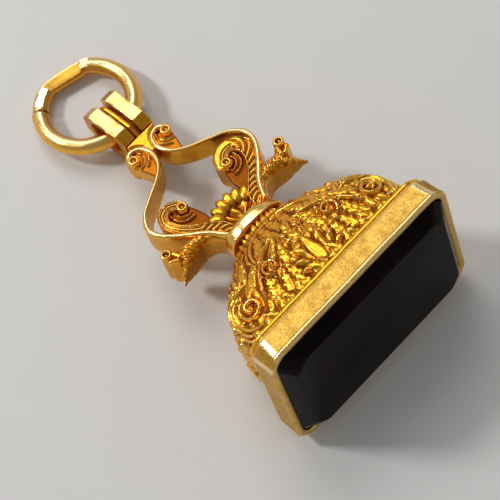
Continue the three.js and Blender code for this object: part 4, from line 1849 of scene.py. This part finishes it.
        # The hollow field takes painted shade between its veins, deepest towards its foot.
        parts = [(within, hollow, np.clip(0.5 - 0.5 * veins + 0.2 * (1 - rise), 0, 1))]
        spread = math.radians(self.fan_spread)
        for lobe in range(self.fan_lobes):
            angle = spread * (lobe / (self.fan_lobes - 1) - 0.5)
            out = x * math.sin(angle) + up * math.cos(angle) - self.fan_radius + 0.05
            aside = (x * math.cos(angle) - up * math.sin(angle)) / (0.56 - 0.2 * np.clip(out / 0.62, 0, 1))
            bulge = 1 - (out / np.where(out > 0, 0.68, 1.25)) ** 2 - np.abs(aside) ** 2.6
            inside = np.minimum(0.3 * bulge, between)
            depth = 1.2 + 0.5 * np.sqrt(np.clip(bulge, 0, 1))
            parts.append((inside, depth, 0.9 * (1 - blend(0, 0.5, bulge))))
        return parts

    def saddle_parts(self, x: Array, up: Array) -> list[Part]:
        """Web between the two top curls, up to the loop.

        Args:
            x: Places across.
            up: Places above the handle's foot.

        Returns:
            The parts.
        """
        left, right = self.loop_shift - self.saddle_half, self.loop_shift + self.saddle_half
        top, waist = self.height + 0.27, 0.45 * self.saddle_half
        outline = np.array(
            [
                (left, top), (left, self.height), (-waist, self.height - 0.95), (-0.23, self.height - 2.1),
                (0.23, self.height - 2.1), (waist, self.height - 0.95), (right, self.height), (right, top),
            ]
        )
        within = np.minimum(inside_outline(outline, x, up), self.from_scroll(np.abs(x), up, 0.05))
        flare = 0.27 * np.clip(up - self.height + 1, 0, 1.2)
        depth = self.half(up) - 0.1 + flare - edge_drop(within, 0.15)
        return [(within, depth, 0.5 * (1 - blend(0, 0.3, within)))]

    def collar(self) -> Shape:
        """Collar whose sharp worn edge overhangs the neck, its face leaning in towards the right, with
        painted shade under its edge and wear with a painted highlight along its edge and face.

        Returns:
            A closed mesh.
        """
        low, high = self.axes.extent("neck_collar")
        angle = np.linspace(0, TAU, 160, endpoint=False)
        square = 2 / self.collar_squareness
        way_x, way_y = (np.sign(way) * np.abs(way) ** square for way in (np.cos(angle), np.sin(angle)))
        place = (high[0] + self.collar_proud) * way_x
        lean = 0.4 * blend(-0.2, -2.6, place)
        rings, cuts = [], []
        for inset, height, deep in self.collar_profile:
            drawn_in = inset + lean * max(height + 0.3, 0)
            ring = [(high[0] + self.collar_proud - drawn_in) * way_x, (high[1] - drawn_in) * way_y]
            rings.append(np.column_stack([*ring, np.full(len(angle), low[2] + height)]))
            # Wear with a painted highlight, strongest a little left of the middle.
            cuts.append(deep * (0.45 + 0.55 * ridge(place - 0.7, 1.2) if deep < 0 else np.ones(len(angle))))
        return lofted(np.array(rings), cut=np.array(cuts)).dented(1.3, 0.03, 41)

    def build(self) -> None:
        """Lays the collar and the handle's pieces."""
        lay("collar_beaded", self.collar(), self.axes, POLISHED, ["neck_collar"])
        scroll = self.plate(self.scroll_parts, (0, -0.4), (7.9, 16.1))
        wing = self.plate(self.wing_parts, (2.3, -0.4), (9.4, 4.2))
        for side, twisted_to, spread in (("left", 3.9, 0.72), ("right", 9.0, 1.25)):
            leg = self.plate(lambda x, up: self.leg_parts(x, up, twisted_to, spread), (1.2, -0.4), (6.9, 8.2))
            strips = [part if side == "left" else part.mirrored() for part in (scroll, leg, wing)]
            lay(f"scroll_bead_{side}", strips[0], self.axes, POLISHED, [f"scroll_{side}"])
            lay(f"leg_leaves_{side}", strips[1], self.axes, CHASED, [f"leaf_leg_{side}"])
            lay(f"wing_leaf_{side}", strips[2], self.axes, CHASED, [f"wing_{side}"])
        fan = self.plate(self.fan_parts, (-3.3, -0.1), (3.3, 4.2))
        lay("fan_petals", fan, self.axes, CHASED, ["shell_fan"])
        saddle = self.plate(self.saddle_parts, (-2.3, 13.5), (2.1, 16.3))
        lay("saddle_web", saddle, self.axes, POLISHED, ["loop_saddle"])


# Loop and ring


@dataclass
class Loop:
    """Suspension loop: two flat faceted hoops with a thin wire hoop between them."""

    axes: Axes
    chamfer: float = 1.25
    foot_chamfer: float = 0.75
    side_wall: float = 0.75
    end_wall: float = 1.1
    bevel: float = 0.13
    inner_bevel: float = 0.12
    crown: float = 0.02
    groove_depth: float = 0.4
    # Bearings of the stretch on each hoop's front and top whose outer faces take wear with a painted
    # highlight, and how much.
    worn_highlight_from: float = -44.0
    worn_highlight_to: float = 80.0
    wear_and_painted_light_tone: float = -0.42
    dull_tone: float = 0.4
    edge_tone: float = 0.35
    bore_tone: float = 0.6
    stations: int = 288

    def __post_init__(self) -> None:
        """Reads the flat hoops' size off the frame."""
        self.low, self.high = self.axes.extent("loop_hoop_left")
        self.middle = (self.low[2] + self.high[2]) / 2
        self.bearings = np.linspace(0, TAU, self.stations, endpoint=False)
        self.ways = np.stack([np.cos(self.bearings), np.sin(self.bearings)], 1)

    def outer(self, trim: float) -> Array:
        """Outline of a hoop in the side plane.

        Args:
            trim: How much smaller it is than the flat hoops'.

        Returns:
            Its corners, anticlockwise.
        """
        half, foot, top = self.high[1] - trim, self.low[2], self.high[2] - trim
        return np.array(
            [
                (half, foot + self.chamfer), (half, top - self.chamfer), (half - self.chamfer, top),
                (self.chamfer - half, top), (-half, top - self.chamfer), (-half, foot + self.chamfer),
                (self.foot_chamfer - half, foot), (half - self.foot_chamfer, foot),
            ]
        )

    def bore(self) -> Array:
        """Outline of the slot that the ring runs in, with round ends.

        Returns:
            Its corners, anticlockwise.
        """
        radius = self.high[1] - self.side_wall
        upper, lower = self.high[2] - self.end_wall - radius, self.low[2] + self.end_wall + radius
        arc = np.linspace(0, math.pi, 40)
        ends = [(sign * radius * np.cos(arc), sign * radius * np.sin(arc)) for sign in (1, -1)]
        return np.vstack([np.stack([y, z + middle], 1) for (y, z), middle in zip(ends, (upper, lower))])

    def cast(self, outline: Array) -> Array:
        """Where lines from the loop's middle meet an outline.

        Args:
            outline: Its corners.

        Returns:
            Distance from the middle at each station.
        """
        reach = np.full(self.stations, np.inf)
        centred = outline - [0, self.middle]
        for one, two in zip(centred, np.roll(centred, -1, axis=0)):
            edge = two - one
            bottom = self.ways[:, 0] * edge[1] - self.ways[:, 1] * edge[0]
            with np.errstate(divide="ignore", invalid="ignore"):
                far = (one[0] * edge[1] - one[1] * edge[0]) / bottom
                share = (one[0] * self.ways[:, 1] - one[1] * self.ways[:, 0]) / bottom
            hit = (far > 0) & (share >= -1e-6) & (share <= 1 + 1e-6)
            reach = np.where(hit, np.minimum(reach, far), reach)
        return reach

    def section(self, width: float, bevel: float) -> list[tuple[float, float, bool]]:
        """Cross-section of a hoop.

        Args:
            width: Its width.
            bevel: Size of its outer bevels.

        Returns:
            For each corner its place across, its depth and whether that is measured from the bore.
        """
        across, deep = [], []
        for corner in range(5):
            angle = math.pi / 2 * corner / 4
            across.append(width / 2 - bevel + bevel * math.cos(angle))
            deep.append(bevel * (1 - math.sin(angle)))
        span = np.linspace(across[-1], -across[-1], 7)[1:-1]
        across += [*span, *(-np.array(across[::-1]))]
        deep += [-self.crown] * len(span) + deep[::-1]
        inner = self.inner_bevel
        edge = [(width / 2, inner), (width / 2 - 0.3 * inner, 0.3 * inner), (width / 2 - inner, 0)]
        in_bore = [(-x, drop) for x, drop in edge] + [(0, 0)] + edge[::-1]
        return [(*spot, False) for spot in zip(across, deep)] + [(*spot, True) for spot in in_bore]

    def hoop(self, node: str, trim: float, round_wire: bool) -> Shape:
        """Hoop with softened edges.

        Args:
            node: The CAD node that it stands for.
            trim: How much smaller than the flat hoops its outline is.
            round_wire: Whether its outer side is rounded like a wire.

        Returns:
            A closed mesh.
        """
        left, right = (corner[0] for corner in self.axes.extent(node))
        width, centre = right - left, (right + left) / 2
        far = self.cast(self.outer(trim))
        far = (far + 0.5 * (np.roll(far, 1) + np.roll(far, -1))) / 2
        near = self.cast(self.bore())
        outside, inside = (self.ways * reach[:, None] + [0, self.middle] for reach in (far, near))
        way = (outside - inside) / np.linalg.norm(outside - inside, axis=1, keepdims=True)
        turned = (np.degrees(self.bearings) + 180) % 360 - 180
        # Wear with a painted highlight on the front and top of each hoop; the rest is duller.
        worn = (turned > self.worn_highlight_from) & (turned < self.worn_highlight_to)
        face_tone = np.where(worn, self.wear_and_painted_light_tone, self.dull_tone)
        rings, cuts = [], []
        for x, drop, in_bore in self.section(width, 0.45 * width if round_wire else self.bevel):
            place = inside + way * drop if in_bore else outside - way * drop
            rings.append(np.column_stack([np.full(self.stations, centre + x), place]))
            outer_tone = np.where(round_wire or drop > 0.1, self.edge_tone, face_tone)
            cuts.append(np.full(self.stations, self.bore_tone) if in_bore else outer_tone)
        return lofted(np.stack(rings, 1), closed=True, cut=np.stack(cuts, 1)).dented(1.1, 0.03, 51)

    def build(self) -> None:
        """Lays the hoops and the wire."""
        for side in ("left", "right"):
            node = f"loop_hoop_{side}"
            lay(f"hoop_faceted_{side}", self.hoop(node, 0, False), self.axes, POLISHED, [node], sharp=28)
        lay("hoop_wire", self.hoop("loop_wire", self.groove_depth, True), self.axes, POLISHED, ["loop_wire"])


@dataclass
class SplitRing:
    """Ring of round wire, hammered flat on one side, whose two ends meet."""

    seal: Axes
    path_radius: float = 5.1
    wire_radius: float = 0.9
    pivot_to_middle: float = 4.6493
    cut_bearing: float = 49.0
    cut_width: float = 0.14
    flat_from: float = -43.0
    flat_to: float = 14.0
    flat_share: float = 0.75
    thickening: float = 0.04
    # Flats hammered on the wire: from bearing, to bearing, lean of the flat, share of the wire it keeps, and
    # its pale tone, wear with a painted highlight.
    facets: tuple = (
        (-47.0, -36.0, 87.0, 0.74, 1.0), (-36.0, 16.0, 105.0, 0.74, 0.0), (-36.0, 16.0, 38.0, 0.86, 0.0),
        (16.0, 44.0, 90.0, 0.87, 1.0),
    )
    flat_run: float = 5.0
    # Side of the wire that takes wear with a painted highlight, and how much.
    worn_highlight_lean: float = 98.0
    wear_and_painted_light_tone: float = 0.6
    inner_tone: float = 0.35
    end_tone: float = 0.5
    end_step: float = 0.12
    end_run: float = 14.0
    stations: int = 360
    sides: int = 40

    def axes(self) -> Axes:
        """The ring's own axes: +Z from the loop through its middle, +Y to the front.

        Returns:
            Axes whose origin is in the ring's middle.
        """
        mesh = frame["nodes"]["split_ring"].data
        points = np.array([vertex.co for vertex in mesh.vertices]) / MM
        spread = np.linalg.svd(points - points.mean(0), full_matrices=False)[2]
        across = self.seal.turn[0]
        out = np.cross(across, spread[2])
        out = out / np.linalg.norm(out)
        pivot = np.array(frame["record"]["behaviour"]["joints"][0]["pos_m"]) / MM
        if out @ (points.mean(0) - pivot) < 0:
            out = -out
        return Axes(pivot + out * self.pivot_to_middle, np.stack([across, np.cross(out, across), out]))

    def shape(self) -> Shape:
        """Mesh of the ring round its own middle.

        Returns:
            A mesh closed at both ends of the wire.
        """
        gap = math.degrees(self.cut_width / 2 / self.path_radius)
        first, sweep = self.cut_bearing + gap, 360 - 2 * gap
        around = np.linspace(0, TAU, self.sides, endpoint=False)
        flat_middle, flat_half = (self.flat_from + self.flat_to) / 2, (self.flat_to - self.flat_from) / 2
        rings, cuts = [], []
        for step in range(self.stations + 1):
            turned = first + sweep * step / self.stations
            bearing = turned - 360 if turned > 180 else turned
            off = abs(bearing - flat_middle)
            radius, flat = self.path_radius, 0.0
            if off < flat_half:
                chord = math.cos(math.radians(flat_half)) / math.cos(math.radians(off))
                radius *= 1 + self.flat_share * (chord - 1)
                flat = min(1, (flat_half - off) / self.flat_run)
            end = self.end_step / 2 * max(0, 1 - (turned - first) / self.end_run)
            close = min(step, self.stations - step)
            rounding = 1 - 0.1 * max(0, 1 - close / 2) ** 2
            thick = self.wire_radius * (1 + self.thickening * flat) * rounding + end
            outward, front = thick * np.cos(around), thick * np.sin(around)
            # Wear with a painted highlight along the side of the wire that the lean gives, off the flats.
            worn = np.clip(np.cos(around - math.radians(self.worn_highlight_lean)), 0, 1) ** 4
            worn = self.wear_and_painted_light_tone * worn * (flat == 0)
            # Each flat takes its listed pale tone: wear with a painted highlight.
            for begin, end_at, lean, share, rubbed in self.facets:
                if begin <= bearing < end_at:
                    way = heading(lean)
                    over = np.maximum(outward * way[0] + front * way[1] - thick * share, 0)
                    outward, front = outward - over * way[0], front - over * way[1]
                    worn = np.where(over > 0, rubbed, worn)
            way = heading(turned)
            reach = radius + end + outward
            rings.append(np.column_stack([reach * way[1], front, reach * way[0]]))
            at_end = self.end_tone if close < 2 else 0
            cuts.append(np.where(np.cos(around) < -0.5, self.inner_tone, -worn) + at_end)
        return lofted(np.array(rings), cut=np.array(cuts)).dented(1.5, 0.05, 61)

    def build(self) -> None:
        """Lays the ring."""
        lay("ring_hammered", self.shape(), self.axes(), RING_GOLD, ["split_ring"], Rider.RING, sharp=24)


# Studio


@dataclass
class Studio:
    """Floor, camera, lamps and background."""

    aim: tuple[float, float, float] = (7.113, -2.017, 6.0)
    distance: float = 253.01
    azimuth: float = 54.144
    elevation: float = 66.927
    roll: float = -12.06
    lens: float = 180.0
    floor_half: float = 900.0
    floor_colour: Colour = (0.85, 0.84, 0.82)
    horizon: Colour = (0.6, 0.59, 0.57)
    overhead: Colour = (0.25, 0.25, 0.25)
    horizon_from: float = 0.02
    horizon_to: float = 0.5

    @staticmethod
    def direction(azimuth: float, elevation: float) -> Vector:
        """Way from the object to a place round it.

        Args:
            azimuth: The place's azimuth in degrees.
            elevation: Its elevation in degrees.

        Returns:
            A direction of length 1.
        """
        turned, raised = math.radians(azimuth), math.radians(elevation)
        flat = math.cos(raised)
        return Vector((math.sin(turned) * flat, -math.cos(turned) * flat, math.sin(raised)))

    def camera(self) -> None:
        """Camera at the photograph's viewing angle."""
        data = bpy.data.cameras.new("camera")
        data.lens = self.lens
        data.sensor_width = 36.0
        data.clip_start, data.clip_end = 1 * MM, 5000 * MM
        camera = bpy.data.objects.new("camera", data)
        back = self.direction(self.azimuth, self.elevation)
        upright = (-back).to_track_quat("-Z", "Y").to_matrix()
        turned = upright @ Matrix.Rotation(math.radians(self.roll), 3, "Z")
        place = Vector(self.aim) * MM + back * self.distance * MM
        camera.matrix_world = Matrix.Translation(place) @ turned.to_4x4()
        bpy.context.scene.collection.objects.link(camera)
        bpy.context.scene.camera = camera

    def lamp(
        self, name: str, azimuth: float, elevation: float, distance: float, size: float, radiance: float
    ) -> None:
        """Square soft lamp that faces the object.

        Args:
            name: Name of the lamp.
            azimuth: Its azimuth in degrees.
            elevation: Its elevation in degrees.
            distance: Its distance in millimetres.
            size: Side of its square in millimetres.
            radiance: How bright its face is, where 1 is white.
        """
        data = bpy.data.lights.new(name, "AREA")
        data.shape = "SQUARE"
        data.size = size * MM
        data.energy = radiance * math.pi * (size * MM) ** 2
        lamp = bpy.data.objects.new(name, data)
        back = self.direction(azimuth, elevation)
        lamp.location = Vector(self.aim) * MM + back * distance * MM
        lamp.rotation_mode = "QUATERNION"
        lamp.rotation_quaternion = (-back).to_track_quat("-Z", "Y")
        bpy.context.scene.collection.objects.link(lamp)

    def floor(self) -> None:
        """Plain pale floor."""
        half = self.floor_half * MM
        mesh = bpy.data.meshes.new("floor")
        corners = [(-half, -half, 0), (half, -half, 0), (half, half, 0), (-half, half, 0)]
        mesh.from_pydata(corners, [], [(0, 1, 2, 3)])
        material = bpy.data.materials.new("floor_paper")
        material.use_nodes = True
        nodes = NodeTree(material.node_tree)
        flecks = nodes.fleck(nodes.add("TexCoord").outputs["Object"], 260.0, 5.0)
        darker = tuple(0.96 * part for part in self.floor_colour)
        colour = nodes.mix(flecks, (*self.floor_colour, 1.0), (*darker, 1.0))
        nodes.surface({"Base Color": colour, "Roughness": 0.9, "Specular IOR Level": 0.1})
        mesh.materials.append(material)
        floor = bpy.data.objects.new("floor", mesh)
        bpy.context.scene.collection.objects.link(floor)

    def background(self) -> None:
        """World that is pale near the horizon and dimmer overhead, as a room is round a lit table."""
        world = bpy.data.worlds.new("studio")
        bpy.context.scene.world = world
        world.use_nodes = True
        nodes = NodeTree(world.node_tree)
        way = nodes.add("TexCoord").outputs["Generated"]
        height = nodes.add("SeparateXYZ", {0: way}).outputs[2]
        share = nodes.ramp(height, self.horizon_from, self.horizon_to)
        colour = nodes.mix(share, (*self.horizon, 1.0), (*self.overhead, 1.0))
        nodes.fill(nodes.tree.nodes["Background"], {"Color": colour})

    def build(self) -> None:
        """Sets up the studio."""
        self.camera()
        self.floor()
        self.background()
        self.lamp("soft_lamp", 246.0, 52.0, 450.0, 240.0, 2.7)
        self.lamp("glint_lamp", 303.0, 43.0, 450.0, 65.0, 55.0)
        bpy.context.scene.view_settings.view_transform = "Standard"
        log.info("studio ready")


def write_sizes() -> None:
    """Updates the view layer once every piece is laid."""
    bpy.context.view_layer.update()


def main() -> None:
    """Builds the studio and every sub-assembly of the seal."""
    logging.basicConfig(level=logging.INFO, format="%(message)s")
    axes = seal_axes()
    Studio().build()
    for assembly in (Setting(axes), Dome(axes), Handle(axes), Loop(axes), SplitRing(axes)):
        assembly.build()
    write_sizes()


if __name__ == "__main__":
    main()
